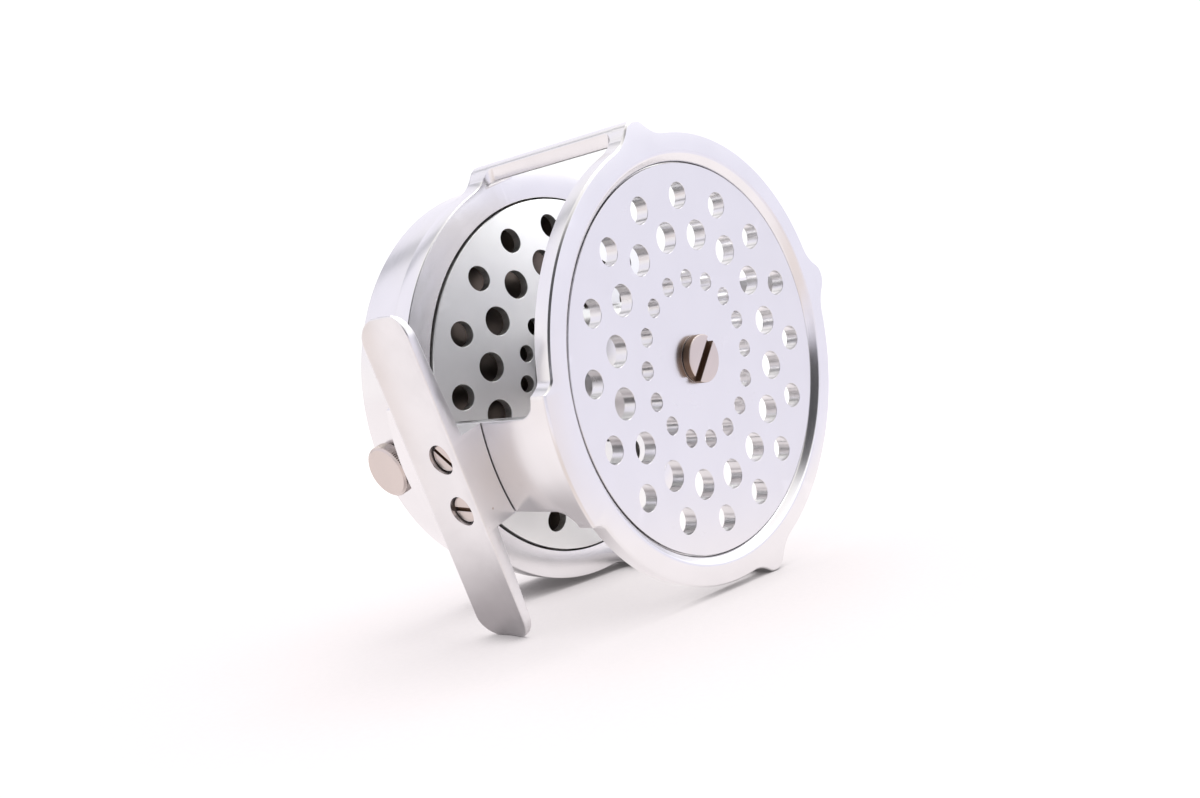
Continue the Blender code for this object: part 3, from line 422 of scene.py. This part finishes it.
def rim_angles():
    """Places round the rim: every 2 degrees, and closer together over the ears and the seat's ends."""
    angles = {float(a) for a in range(0, 360, 2)}
    top, foot = degrees(EAR_TOP_HALF / RING_R), degrees(EAR_HALF / RING_R)
    for centre in EAR_ANGLES:
        angles = {a for a in angles if angle_off(a, centre) > foot + 0.5}
        angles |= {centre + top * i / 8 for i in range(-8, 9)}
        angles |= {centre + side * (top + (foot - top) * i / 10) for side in (-1, 1) for i in range(1, 11)}
    for side in (-1, 1):
        edge = FOOT_ANGLE + side * BRIDGE_END_HALF
        angles = {a for a in angles if angle_off(a, edge + side * BRIDGE_EASE / 2) > BRIDGE_EASE / 2 + 0.5}
        angles |= {edge + side * BRIDGE_EASE * i / 8 for i in range(9)}
    return sorted(angles)


def ring_loft(bm, profile):
    """A ring whose outline points are (rides on the rim, radius or offset, depth)."""
    loops = []
    for angle in rim_angles():
        outer = rim(angle)
        loop = []
        for rides, radius, depth in profile:
            x, z = polar(outer + radius if rides else radius, angle)
            loop.append((x, depth, z))
        loops.append(loop)
    loft(bm, loops, closed=True)


def ring_profile(points, radii, steps):
    """Rounds an outline, and marks its outer points, which follow the rim."""
    outline = rounded(points, radii, steps)
    outer = RING_R - 1.0
    return [(r > outer, r - RING_R if r > outer else r, y) for r, y in outline]


def pillar_section(angle, out):
    """Outline across a pillar whose flanks have moved out: the ear's own top, flanks and a flat inside."""
    steps = 16
    half = degrees((PILLAR_HALF + out) / RING_R)
    top = []
    for i in range(steps + 1):
        a = half * (2 * i / steps - 1)
        r = rim(angle + a) + PROUD
        top.append((r * sin(radians(a)), r * cos(radians(a))))
    flank, inner = top[-1][0], PILLAR_IN_R - 0.45 * out
    return rounded(top + [(flank, inner), (-flank, inner)], [0.12] + [0] * (steps - 1) + [0.12, 0.3, 0.3], 3)


def bar_stations(radius, steps):
    """Depths along a bar, with how far its flanks have moved out in the round fillet at each end.
    The bar runs on inside the rings' rims."""
    low, high = NEAR_RING_BACK_Y, FAR_RING_Y
    turns = [pi / 2 * i / steps for i in range(steps + 1)]
    curve = [(radius * (1 - cos(turn)), radius * (1 - sin(turn))) for turn in turns]
    return ([(FACE_Y + 0.5, radius)] + [(low + along, out) for along, out in curve]
            + [(high - along, out) for along, out in curve[::-1]] + [(FRAME_BACK_Y - 0.6, radius)])


def pillar_loft(bm, angle):
    """A raised pillar, with a fillet into each ring."""
    turn = Matrix.Rotation(pi / 2 - radians(angle), 4, "Y")
    loft(bm, [[turn @ Vector((-x, y, z)) for x, z in pillar_section(angle, out)]
              for y, out in bar_stations(PILLAR_FILLET, 8)])


def bridge_loft(bm):
    """The wide bridge under the foot, with a round fillet into each ring."""
    across = 24
    turn = Matrix.Rotation(pi / 2 - radians(FOOT_ANGLE), 4, "Y")
    corners = [0.15] + [0] * (across - 1) + [0.15, 0.3] + [0] * (across - 1) + [0.3]
    loops = []
    for y, out in bar_stations(BRIDGE_FILLET, 10):
        half = BRIDGE_HALF + out / BRIDGE_FILLET * (BRIDGE_END_HALF - BRIDGE_HALF)
        angles = [radians(half * (1 - 2 * i / across)) for i in range(across + 1)]
        section = [((BRIDGE_R + PROUD) * sin(a), (BRIDGE_R + PROUD) * cos(a)) for a in angles]
        section += [(BRIDGE_IN_R * sin(a), BRIDGE_IN_R * cos(a)) for a in angles[::-1]]
        loops.append([turn @ Vector((x, y, z)) for x, z in rounded(section, corners, 3)])
    loft(bm, loops)


def build_frame():
    """The one-piece cage: near ring, far ring with its end wall, boss, bridge and pillars."""
    bm = bmesh.new()
    ring_loft(bm, ring_profile(
        [(MOUTH_R, FACE_Y), (RING_R - 0.35, FACE_Y), (RING_R, FACE_Y + 0.35), (RING_R, NEAR_RING_BACK_Y),
         (BORE_R, NEAR_RING_BACK_Y), (BORE_R, FACE_Y + 1.5)], [1.3, 0.12, 0.12, 0.08, 0.15, 1.3], 6))
    ring_loft(bm, ring_profile(
        [(BORE_R, FAR_RING_Y), (RING_R, FAR_RING_Y), (RING_R, FRAME_BACK_Y), (BEARING_R + GAP, FRAME_BACK_Y),
         (BEARING_R + GAP, WALL_Y), (BORE_R, WALL_Y)], [0.12, 0.3, 0.2, 0.1, 0.1, 0.3], 4))
    turned(bm, [(BOSS_R, WALL_Y + 0.5), (BOSS_R, BOSS_END_Y), (BEARING_R + GAP, BOSS_END_Y),
                (BEARING_R + GAP, WALL_Y + 0.5)], 64)
    bridge_loft(bm)
    for angle in EAR_ANGLES:
        pillar_loft(bm, angle)
    shape = mesh_object("frame_shape", bm, alloy)

    def behind_flange(middle, normal):
        return normal.y < -0.9 and abs((middle - SPINDLE).y / MM - WALL_Y) < 0.1

    # the end wall behind the flange gets painted shade
    second_material(shape, shaded_alloy, behind_flange)
    piece(shape, "cage", "satin_aluminium", "frame")


# The spool

def dish(radius):
    """Depth of the front plate's hollow face."""
    return DISH * (1 - (radius / DISH_R) ** 2)


def flange_face(radius):
    """Depth of the rear flange's bulging face, which is flat where the arbor meets it."""
    return FLANGE_Y + FLANGE_DISH * (max(radius, ARBOR_R + GAP) / DISH_R) ** 2


def cut_holes(target, face, thick):
    """Cuts the spool's holes through a dished plate, with an even bevel at each face."""
    sides = 40
    bm = bmesh.new()
    for ring_r, hole_r, phase in HOLE_RINGS:
        outline = [(hole_r + HOLE_BEVEL + 1, 0, -1), (hole_r, 0, HOLE_BEVEL), (hole_r, thick, -HOLE_BEVEL),
                   (hole_r + HOLE_BEVEL + 1, thick, 1)]
        for i in range(HOLES_PER_RING):
            x, z = polar(ring_r, phase + 360 * i / HOLES_PER_RING)
            loops = []
            for radius, through, along in outline:
                loop = []
                for k in range(sides):
                    dx, dz = polar(radius, 360 * k / sides)
                    loop.append((x + dx, face(sqrt((x + dx) ** 2 + (z + dz) ** 2)) + through + along, z + dz))
                loops.append(loop)
            loft(bm, loops)
    cut(target, mesh_object("cutter", bm))


def smooth_normals(plate, slope, flat=0.0):
    """Gives a dished plate's faces the normals of the true curve, which the cut polygons only approach.
    slope is the face's rise for each millimetre of radius squared, outside its flat middle."""
    mesh = plate.data
    normals = [(0.0, 0.0, 0.0)] * len(mesh.loops)
    for polygon in mesh.polygons:
        if abs(polygon.normal.y) < 0.97:
            continue
        side = 1 if polygon.normal.y > 0 else -1
        for i in polygon.loop_indices:
            out = (mesh.vertices[mesh.loops[i].vertex_index].co - SPINDLE) / MM
            if sqrt(out.x ** 2 + out.z ** 2) < flat + 0.01:
                continue
            normals[i] = tuple((Vector((-2 * slope * out.x, 1.0, -2 * slope * out.z)) * side).normalized())
    mesh.normals_split_custom_set(normals)


def build_front_plate():
    steps, bore = 18, SPINDLE_SHANK_R + GAP
    radii = [bore + (PLATE_R - bore) * i / steps for i in range(steps + 1)]
    face = [(r, dish(r)) for r in radii]
    back = [(r, dish(r) + PLATE_THICK) for r in radii[::-1]]
    bevel = [0.2] + [0] * (steps - 1) + [0.15, 0.2] + [0] * (steps - 1) + [0.2]
    bm = bmesh.new()
    turned(bm, rounded(face + back, bevel, 3), 160)
    plate = mesh_object("front_plate_shape", bm, plate_alloy)
    cut_holes(plate, dish, PLATE_THICK)
    smooth_normals(plate, -DISH / DISH_R ** 2)
    piece(plate, "spool", "satin_aluminium", "front_plate")


def build_rear_flange():
    steps, flat, bore = 16, ARBOR_R + GAP, SPINDLE_R + GAP
    radii = [flat + (FLANGE_R - flat) * i / steps for i in range(steps + 1)]
    face = [(bore, flange_face(0))] + [(r, flange_face(r)) for r in radii]
    back = [(r, flange_face(r) + FLANGE_THICK) for r in radii[::-1]]
    hub = [(FLANGE_HUB_R, flange_face(0) + FLANGE_THICK), (FLANGE_HUB_R, FLANGE_HUB_END),
           (bore, FLANGE_HUB_END)]
    bevel = [0.2] + [0] * steps + [0.2, 0.2] + [0] * steps + [0.5, 0.2, 0.2]
    bm = bmesh.new()
    turned(bm, rounded(face + back + hub, bevel, 3), 160)
    flange = mesh_object("rear_flange_shape", bm, flange_alloy)
    cut_holes(flange, flange_face, FLANGE_THICK)
    smooth_normals(flange, FLANGE_DISH / DISH_R ** 2, flat)
    piece(flange, "spool", "satin_aluminium", "rear_flange")


def build_arbor():
    web = 3.2
    web_y = flange_face(0) - GAP - web
    start, inner = dish(ARBOR_R) + PLATE_THICK + GAP, ARBOR_R - ARBOR_WALL
    bm = bmesh.new()
    outline = [(ARBOR_R, start), (ARBOR_R, web_y + web), (SPINDLE_R + GAP, web_y + web),
               (SPINDLE_R + GAP, web_y), (inner, web_y), (inner, dish(inner) + PLATE_THICK + GAP)]
    turned(bm, rounded(outline, 0.2, 3), 96)
    piece(mesh_object("arbor_shape", bm, alloy), "spool", "satin_aluminium", "arbor")


def slotted_screw(name, head_r, face, seat, shank_r, end, slot, place, slot_angle, segments):
    """A screw with a softened flat head, in a frame whose -Y it faces. face, seat and end are depths."""
    width, depth = slot
    bm = bmesh.new()
    outline = [(0, face), (head_r * 0.6, face), (head_r, face), (head_r, seat), (shank_r, seat),
               (shank_r, end), (0, end)]
    turned(bm, rounded(outline, [0, 0, 0.22, 0.1, 0.1, 0.2, 0], 4), segments)
    screw = mesh_object(name, bm, silver, place)
    bm = bmesh.new()
    turn = Matrix.Rotation(radians(slot_angle), 4, "Y")
    reach, bevel = head_r + 1, 0.06
    section = [(-width / 2 - 1.0, face - 1.0 + bevel), (-width / 2, face + bevel), (-width / 2, face + depth),
               (width / 2, face + depth), (width / 2, face + bevel), (width / 2 + 1.0, face - 1.0 + bevel)]
    loft(bm, [[turn @ Vector((x, y, z)) for z, y in section] for x in (-reach, reach)])
    cut(screw, mesh_object("cutter", bm, local=place))

    def in_painted_shade(middle, normal):
        """The slot's walls and floor, and the side of the head, which get painted shade."""
        radius, y = sqrt(middle.x ** 2 + middle.z ** 2) / MM, middle.y / MM
        if radius > head_r - 0.05:
            return y < seat and abs(normal.y) < 0.3
        return face + 0.15 < y < face + depth + 0.01

    # painted shade in the slot and on the side of the head
    second_material(screw, screw_shade, in_painted_shade)
    return screw


def build_spindle_screw():
    screw = slotted_screw("spindle_screw_shape", SPINDLE_SCREW_R, SPINDLE_SCREW_FACE, dish(0) - GAP / 2,
                          SPINDLE_SHANK_R, SPINDLE_SCREW_END, SPINDLE_SLOT, Matrix.Identity(4),
                          SPINDLE_SLOT_ANGLE, 96)
    piece(screw, "spool", "nickel_silver", "spindle_screw")


# The check housing

def build_housing():
    """The check's drum, with the bosses and the screws that hold it."""
    inside_r, inside_y = HOUSING_R - HOUSING_WALL, HOUSING_BACK_Y - HOUSING_END
    open_y, hub_y, bore_r = FRAME_BACK_Y + GAP, inside_y - 1.6, BEARING_R + GAP
    outline = [(inside_r, open_y), (HOUSING_R, open_y), (HOUSING_R, HOUSING_BACK_Y - 1.0),
               (HOUSING_R - 1.0, HOUSING_BACK_Y), (bore_r, HOUSING_BACK_Y), (bore_r, hub_y),
               (BOSS_R, hub_y), (BOSS_R, inside_y), (inside_r, inside_y)]
    bm = bmesh.new()
    turned(bm, rounded(outline, [0.1, 0.2, 0.7, 0.7, 0.2, 0.1, 0.2, 0.5, 1.0], 5), 240)
    housing = mesh_object("check_housing_shape", bm, alloy)
    bm = bmesh.new()
    seat_y, seat_r, shank_hole_r = HOUSING_BACK_Y - 1.7, HOUSING_SCREW_R + 0.2, SHANK_R + GAP
    places = [at(x, 0, z) for x, z in (polar(HOUSING_SCREW_RING, angle) for angle in HOUSING_SCREW_ANGLES)]
    for place in places:
        turned(bm, [(0, inside_y - 1), (shank_hole_r, inside_y - 1), (shank_hole_r, seat_y), (seat_r, seat_y),
                    (seat_r, HOUSING_BACK_Y - 0.15), (seat_r + 1.15, HOUSING_BACK_Y + 1),
                    (0, HOUSING_BACK_Y + 1)], 48, place)
    turned(bm, [(0, -HOUSING_R - 2), (STEM_R + GAP, -HOUSING_R - 2), (STEM_R + GAP, -inside_r + 2),
                (0, -inside_r + 2)], 32, radial_frame(REGULATOR_ANGLE, REGULATOR_Y))
    cut(housing, mesh_object("cutter", bm))
    bm = bmesh.new()
    boss_r, boss_end = 3.4, inside_y + 0.2
    for place in places:
        turned(bm, [(shank_hole_r, open_y), (boss_r, open_y), (boss_r, boss_end), (shank_hole_r, boss_end)],
               32, place)
    bosses = mesh_object("check_housing_bosses", bm, alloy)
    piece(bosses, "cage", "satin_aluminium")
    piece(housing, "cage", "satin_aluminium", "check_housing")

    face_y, head = HOUSING_BACK_Y - 0.1, 1.3
    for i, place in enumerate(places):
        facing_back = place @ at(0, face_y, 0) @ Matrix.Rotation(pi, 4, "X")
        screw = slotted_screw(f"housing_screw_{i + 1}_shape", HOUSING_SCREW_R, 0.0, head, SHANK_R,
                              face_y - WALL_Y - GAP, SLOT, facing_back, 20 + 55 * i, 56)
        piece(screw, "cage", "nickel_silver", f"housing_screw_{i + 1}")


def build_knob():
    """The regulator knob, drawn about its own axis: a faced end and a finely knurled rim."""
    base = HOUSING_R + GAP
    depth = KNOB_FACE - base
    edge, groove = 0.35, 0.16
    rows = 6
    profile = [(0, 0.12), (KNOB_R - 1.1, 0.0), (KNOB_R - 0.55, 0.0), (KNOB_R - groove, edge)]
    knurl_rows = range(len(profile), len(profile) + rows + 1)
    profile += [(KNOB_R - groove, edge + (depth - 2 * edge) * i / rows) for i in range(rows + 1)]
    profile += [(KNOB_R - groove, depth - edge * 0.6), (KNOB_R - 0.5, depth), (STEM_R + GAP, depth),
                (STEM_R + GAP, depth - 1.6), (0, depth - 1.6)]
    per_tooth = 6

    def knurl(i, index):
        """The rim's fine straight teeth."""
        if index not in knurl_rows:
            return 0
        share = (i % per_tooth) / per_tooth
        return groove * (1 - abs(2 * share - 1))

    bm = bmesh.new()
    turned(bm, profile, KNURL_TEETH * per_tooth, wave=knurl)
    frame_here = radial_frame(REGULATOR_ANGLE, REGULATOR_Y) @ at(0, -KNOB_FACE, 0)
    knob = mesh_object("regulator_knob_shape", bm, silver, frame_here, sharp=28)
    piece(knob, "regulator", "nickel_silver", "regulator_knob")


# The foot

def foot_half_width(t):
    """Half the foot's width at a place along it: straight flanks, round corners and a crowned end."""
    half = FOOT_WIDTH / 2
    from_end = FOOT_UPPER_LENGTH - t if t > 0 else FOOT_LOWER_LENGTH + t
    low, high = 0.0, pi / 2
    for _ in range(30):
        turn = (low + high) / 2
        width = half - FOOT_CORNER * (1 - sin(turn))
        if FOOT_CROWN * (width / half) ** 2 + FOOT_CORNER * (1 - cos(turn)) < from_end:
            low = turn
        else:
            high = turn
    return half - FOOT_CORNER * (1 - sin(low))


def foot_section(width, bottom, inset):
    """Outline across the foot: (across, depth), with a hollow outer face and rounded edges."""
    steps, half, w = 18, FOOT_WIDTH / 2, width - inset
    top = []
    for i in range(steps + 1):
        a = -w + 2 * w * i / steps
        top.append((a, FOOT_TROUGH * (1 - (a / half) ** 2) + inset))
    low = max(bottom, FOOT_TROUGH + 0.5) - inset
    corners = [FOOT_LIP] + [0] * (steps - 1) + [FOOT_LIP, 0.2, 0.2]
    return rounded(top + [(w, low), (-w, low)], corners, 4)


def foot_stations(side, length, pedestal_half):
    """From one end of the foot to its pedestal: (place along it, half width, thickness, inset)."""
    edge = 0.35
    corner_start = length - FOOT_CORNER - FOOT_CROWN
    turns = [pi / 2 * i / 4 for i in range(5)]
    first = [(length - 0.001 - edge * (1 - cos(turn)), 0.8 * edge * (1 - sin(turn))) for turn in turns]
    turns = [pi / 2 * i / 16 for i in range(1, 17)]
    rest = [(length - edge - (length - edge - corner_start) * (1 - cos(turn)), 0.0) for turn in turns]
    rest += [(corner_start - (corner_start - pedestal_half) * i / 8, 0.0) for i in range(1, 9)]
    stations = []
    for t, inset in first + rest:
        share = min(1.0, (length - t) / (length - pedestal_half))
        thick = FOOT_TIP_THICK + (FOOT_BLADE_THICK - FOOT_TIP_THICK) * share
        stations.append((side * t, foot_half_width(side * t), thick, inset))
    return stations


def build_foot():
    """The foot on its pedestal, and its two sunk screws."""
    place = radial_frame(FOOT_ANGLE, FOOT_Y) @ at(0, -FOOT_EDGE, 0)
    pedestal_half = BRIDGE_R * sin(radians(BRIDGE_HALF))
    saddle = BRIDGE_R + GAP / 2
    stations = foot_stations(1, FOOT_UPPER_LENGTH, pedestal_half)
    for i in range(25):
        t = pedestal_half * (1 - 2 * i / 24)
        stations.append((t, FOOT_WIDTH / 2, FOOT_EDGE - sqrt(saddle ** 2 - t ** 2), 0.0))
    stations += foot_stations(-1, FOOT_LOWER_LENGTH, pedestal_half)[::-1]
    bm = bmesh.new()
    loft(bm, [[(t, depth, across) for across, depth in foot_section(width, thick, inset)]
              for t, width, thick, inset in stations])
    foot = mesh_object("foot_shape", bm, foot_alloy, place)

    seat, low = FOOT_EDGE - FOOT_SCREW_SEAT + GAP / 2, FOOT_EDGE - BRIDGE_R + 2
    seat_r, shank_r = FOOT_SCREW_R + GAP, SHANK_R + GAP
    bm = bmesh.new()
    for side in (-1, 1):
        turned(bm, [(0, -1), (seat_r, -1), (seat_r, seat), (shank_r, seat), (shank_r, low), (0, low)],
               64, at(side * FOOT_SCREW_SPACING / 2, 0, FOOT_SCREW_Y - FOOT_Y))
    cut(foot, mesh_object("cutter", bm, local=place))
    piece(foot, "cage", "satin_aluminium", "foot")

    for i, (side, slot_angle) in enumerate(((-1, -86), (1, -43))):
        frame_here = radial_frame(FOOT_ANGLE, FOOT_SCREW_Y) @ at(side * FOOT_SCREW_SPACING / 2, 0, 0)
        screw = slotted_screw(f"foot_screw_{i + 1}_shape", FOOT_SCREW_R, -FOOT_SCREW_FACE, -FOOT_SCREW_SEAT,
                              SHANK_R, -BRIDGE_IN_R + 0.6, SLOT, frame_here, slot_angle, 72)
        piece(screw, "cage", "nickel_silver", f"foot_screw_{i + 1}")


# The crank

def arc(position, radius, start, end):
    """Points of a disc's edge, every 6 degrees, with the disc's centre at a place along the arm."""
    points = [polar(radius, angle) for angle in range(start, end + 1, 6)]
    return [(position + x, z) for x, z in points]


def build_crank_arm():
    """The counterbalanced arm: three discs joined by waisted flanks, with softened edges."""
    tail, hub, tip = (-COUNTERWEIGHT_REACH, COUNTERWEIGHT_R), (0, CRANK_HUB_R), (CRANK_REACH, CRANK_TIP_R)
    outline = arc(*tail, 90, 270) + arc(*hub, 230, 310) + arc(*tip, -90, 90) + arc(*hub, 50, 130)
    turn = Matrix.Rotation(-radians(CRANK_ANGLE), 4, "Y")
    high, soft = CRANK_Y + CRANK_THICK, 0.35
    loops = []
    for depth, inset in ((CRANK_Y, soft), (CRANK_Y + 0.1, soft * 0.4), (CRANK_Y + soft, 0.0),
                         (high - soft, 0.0), (high - 0.1, soft * 0.4), (high, soft)):
        loop = []
        for i, point in enumerate(outline):
            before, after = Vector(outline[i - 1]), Vector(outline[(i + 1) % len(outline)])
            along = (after - before).normalized()
            inward = Vector((-along.y, along.x))
            x, z = Vector(point) + inward * inset
            loop.append((x, depth, z))
        loops.append(loop)
    bm = bmesh.new()
    loft(bm, loops)
    bm.transform(turn)
    crank = mesh_object("crank_shape", bm, alloy)
    bm = bmesh.new()
    for radius, along in ((CRANK_BORE_R, 0), (HANDLE_PIN_R + GAP, CRANK_REACH)):
        turned(bm, [(0, CRANK_Y - 1), (radius, CRANK_Y - 1), (radius, high - 0.2), (radius + 1.2, high + 1),
                    (0, high + 1)], 48, turn @ at(along, 0, 0))
    cut(crank, mesh_object("cutter", bm))
    piece(crank, "spool", "satin_aluminium", "crank")


def build_crank_nut():
    """The domed nut that holds the arm, and the washer under the arm."""
    bm = bmesh.new()
    bore, thread_end = 2.7, NUT_Y + 3.7
    outline = [(bore, NUT_Y), (NUT_R, NUT_Y), (NUT_R, NUT_Y + 2.6), (0.7 * NUT_R, NUT_Y + 4.2),
               (0, NUT_Y + 4.8), (0, thread_end), (bore, thread_end)]
    turned(bm, rounded(outline, [0.1, 0.3, 0.9, 1.4, 0, 0, 0], 5), 72)
    nut = mesh_object("crank_nut_shape", bm, silver, Matrix.Identity(4))
    piece(nut, "spool", "nickel_silver", "crank_nut")

    bm = bmesh.new()
    low, high = HOUSING_BACK_Y + 0.75, CRANK_Y - 0.15
    turned(bm, rounded([(CRANK_BORE_R, low), (WASHER_R, low), (WASHER_R, high), (CRANK_BORE_R, high)],
                       0.1, 3), 64)
    piece(mesh_object("crank_washer_shape", bm, steel), "spool", "steel", "crank_washer")


def build_handle():
    """The handle's pin, riveted in the arm, and the knob that turns on it."""
    x, z = polar(CRANK_REACH, CRANK_ANGLE)
    low = CRANK_Y + CRANK_THICK
    start, end = low + GAP, low + HANDLE_LENGTH + GAP
    bm = bmesh.new()
    outline = [(0, CRANK_Y - 0.5), (HANDLE_PIN_HEAD_R, CRANK_Y - 0.5), (HANDLE_PIN_HEAD_R, CRANK_Y - 0.15),
               (HANDLE_PIN_R, CRANK_Y - 0.15), (HANDLE_PIN_R, end + GAP), (HANDLE_PIN_HEAD_R, end + GAP),
               (HANDLE_PIN_HEAD_R, end + 1.2), (0, end + 1.2)]
    turned(bm, rounded(outline, [0, 0.15, 0.1, 0, 0, 0.1, 0.5, 0], 5), 64, at(x, 0, z))
    piece(mesh_object("handle_spindle_shape", bm, steel), "spool", "steel", "handle_spindle")

    bm = bmesh.new()
    bore = HANDLE_PIN_R + 0.08
    knots = [(3.4, 0.0), (4.0, 0.8), (4.05, 3.0), (4.1, 5.0), (4.5, 9.0), (4.9, 12.5), (5.0, 14.4),
             (4.3, 16.0)]
    outline = [(bore, start)] + [(r, start + d) for r, d in knots] + [(bore, end)]
    turned(bm, rounded(outline, [0.1, 0.35, 0.8, 3.0, 3.0, 6.0, 3.0, 1.4, 0.7, 0.1], 6), 72, at(x, 0, z))
    piece(mesh_object("handle_knob_shape", bm, black), "handle", "black_handle", "handle_knob")


def finish_hidden_nodes():
    """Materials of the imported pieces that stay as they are."""
    finish = {"brass": brass, "steel": steel, "nickel_silver": plain_silver, "satin_aluminium": alloy,
              "black_handle": black}
    for part in frame["record"]["subparts"]:
        thing = frame["nodes"][part["node"]]
        for slot in thing.material_slots:
            slot.material = finish[part["material_slot"]]


# The studio

CAMERA_AT = Vector((-175.55, -133.02, -16.49)) * MM
CAMERA_RIGHT, CAMERA_UP, CAMERA_FORWARD = (Vector(v) for v in (
    (0.6765, -0.735, -0.0468), (0.0, -0.0636, 0.998), (0.7365, 0.6751, 0.043)))
LIGHT_AT = Vector((0.45, 0.05, 1.2))        # metres, as the floor's and the world's places are
FOOT_TIP_AT = (-0.036, -0.004, 0.0)         # where the foot's lower end meets the floor, the middle of a painted shadow


def build_light():
    """A square lamp above and to the right, aimed at the reel's foot."""
    light = bpy.data.lights.new("overhead", "AREA")
    light.shape = "SQUARE"
    light.size, light.energy, light.color = 0.9, 7.0, (1.0, 0.99, 0.985)
    thing = bpy.data.objects.new("overhead", light)
    bpy.context.scene.collection.objects.link(thing)
    thing.location = LIGHT_AT
    thing.rotation_euler = (-LIGHT_AT).to_track_quat("-Z", "Y").to_euler()


def build_camera():
    """The viewpoint, low and to the left, level with the lower part of the open face."""
    data = bpy.data.cameras.new("camera")
    data.sensor_width, data.lens = 36.0, 33.46
    data.clip_start, data.clip_end = 0.01, 50.0
    camera = bpy.data.objects.new("camera", data)
    bpy.context.scene.collection.objects.link(camera)
    turn = Matrix((CAMERA_RIGHT, CAMERA_UP, -CAMERA_FORWARD)).transposed().to_4x4()
    camera.matrix_world = REEL @ Matrix.Translation(CAMERA_AT) @ turn
    bpy.context.scene.camera = camera


def build_world():
    """A white cove: lavender at the right, cream at the back, with a dark stripe there and a dark front."""
    world = bpy.data.worlds.new("studio")
    bpy.context.scene.world = world
    n = Nodes(world)
    n.tree.nodes.clear()
    way = n.add("ShaderNodeTexCoord").outputs["Generated"]

    def toward(*direction):
        """How nearly a ray goes in a direction, from -1 to 1."""
        return n.vector("DOT_PRODUCT", way, Vector(direction).normalized(), "Value")

    height, across, back = toward(0, 0, 1), toward(1, 0, 0), toward(0, 1, 0)
    right_wall = n.mix(n.span(height, 0.17, 0.36), (1.02, 1.00, 1.13, 1), (1.6, 1.58, 1.62, 1))
    back_wall = n.mix(n.span(height, 0.1, 0.5), (1.18, 1.13, 1.13, 1), (1.08, 1.05, 1.15, 1))
    cove = n.mix(n.span(toward(0.707, -0.707, 0), 0.2, 0.7), back_wall, right_wall)
    cove = n.mix(n.span(height, 0.6, 0.85), cove, (1.15, 1.12, 1.10, 1))
    stripe = n.times(n.span(across, -0.14, -0.03), n.span(across, 0.01, 0.12, 1.0, 0.0))
    stripe = n.times(n.times(stripe, n.span(back, 0.4, 0.6)), 0.7)
    cove = n.mix(stripe, cove, (0.25, 0.26, 0.30, 1))
    front = n.times(n.span(toward(-0.5, -0.8, 0.33), 0.72, 0.88), 0.97)
    cove = n.mix(front, cove, (0.05, 0.05, 0.055, 1))
    colour = n.mix(n.seen(), cove, (1.1, 1.1, 1.1, 1))
    light = n.add("ShaderNodeBackground", {"Color": colour, "Strength": 1.0})
    n.put(n.add("ShaderNodeOutputWorld").inputs[0], light.outputs[0])


def build_floor():
    """A white sheet that glows, warm close by and lavender further out, with only light shadows, some of them
    painted: darker round the reel, in contact, and round the foot's tip.
    """
    half = 4.0
    bm = bmesh.new()
    bm.faces.new([bm.verts.new(corner) for corner in
                  ((-half, -half, 0), (half, -half, 0), (half, half, 0), (-half, half, 0))])
    mesh = bpy.data.meshes.new("floor")
    bm.to_mesh(mesh)
    bm.free()
    floor = bpy.data.objects.new("floor", mesh)
    bpy.context.scene.collection.objects.link(floor)

    n = new_material("floor_paper")
    place, seen = n.place(), n.seen()
    x, y = n.parts(place)[:2]
    fibres = n.span(n.noise(place, 900.0, 3.0), 0.3, 0.7, 0.99, 1.01)
    lavender = n.span(y, -0.17, -0.10, 1.0, 0.0)
    toward = n.times(n.math("ADD", x, y), -1.0)
    warm = n.times(n.span(toward, 0.07, 0.12), n.span(toward, 0.19, 0.26, 1.0, 0.0))
    mirrored = n.mix(lavender, (0.90, 0.84, 0.845, 1.0), (0.76, 0.74, 0.86, 1.0))
    mirrored = n.mix(warm, mirrored, (0.70, 0.60, 0.555, 1.0))
    # painted shadow: seen in reflections, the floor darkens round the foot's tip
    from_tip = n.vector("DISTANCE", place, FOOT_TIP_AT, "Value")
    mirrored = n.mix(n.span(from_tip, 0.004, 0.032), (0.30, 0.265, 0.27, 1.0), mirrored)
    # painted shadow: as the camera sees it, the floor is darker close to the reel
    distance = n.vector("LENGTH", place, output="Value")
    seen_glow_with_painted_shadow = n.mix(n.span(distance, 0.10, 0.22), (0.62, 0.585, 0.592, 1.0), (0.85, 0.85, 0.85, 1.0))
    paper = n.mix(seen, (0.21, 0.205, 0.205, 1.0), (0.34, 0.33, 0.33, 1.0))
    # painted contact shadow: the floor's glow dims where the reel closes it in
    open_share = n.add("ShaderNodeAmbientOcclusion", {"Distance": 0.02}, samples=8).outputs["AO"]
    strength = n.times(fibres, n.span(open_share, 0.1, 0.7, 0.05, 1.0))
    mesh.materials.append(n.shade(Base_Color=paper, Roughness=0.8, Specular_IOR_Level=0.0,
                                  Emission_Color=n.mix(seen, mirrored, seen_glow_with_painted_shadow), Emission_Strength=strength))


build_camera()
build_frame()
build_front_plate()
build_rear_flange()
build_arbor()
build_spindle_screw()
build_housing()
build_knob()
build_foot()
build_crank_arm()
build_crank_nut()
build_handle()
finish_hidden_nodes()
build_floor()
build_world()
build_light()

view = bpy.context.scene.view_settings
view.view_transform, view.look = "Standard", "None"
view.exposure, view.gamma = 0.0, 1.0
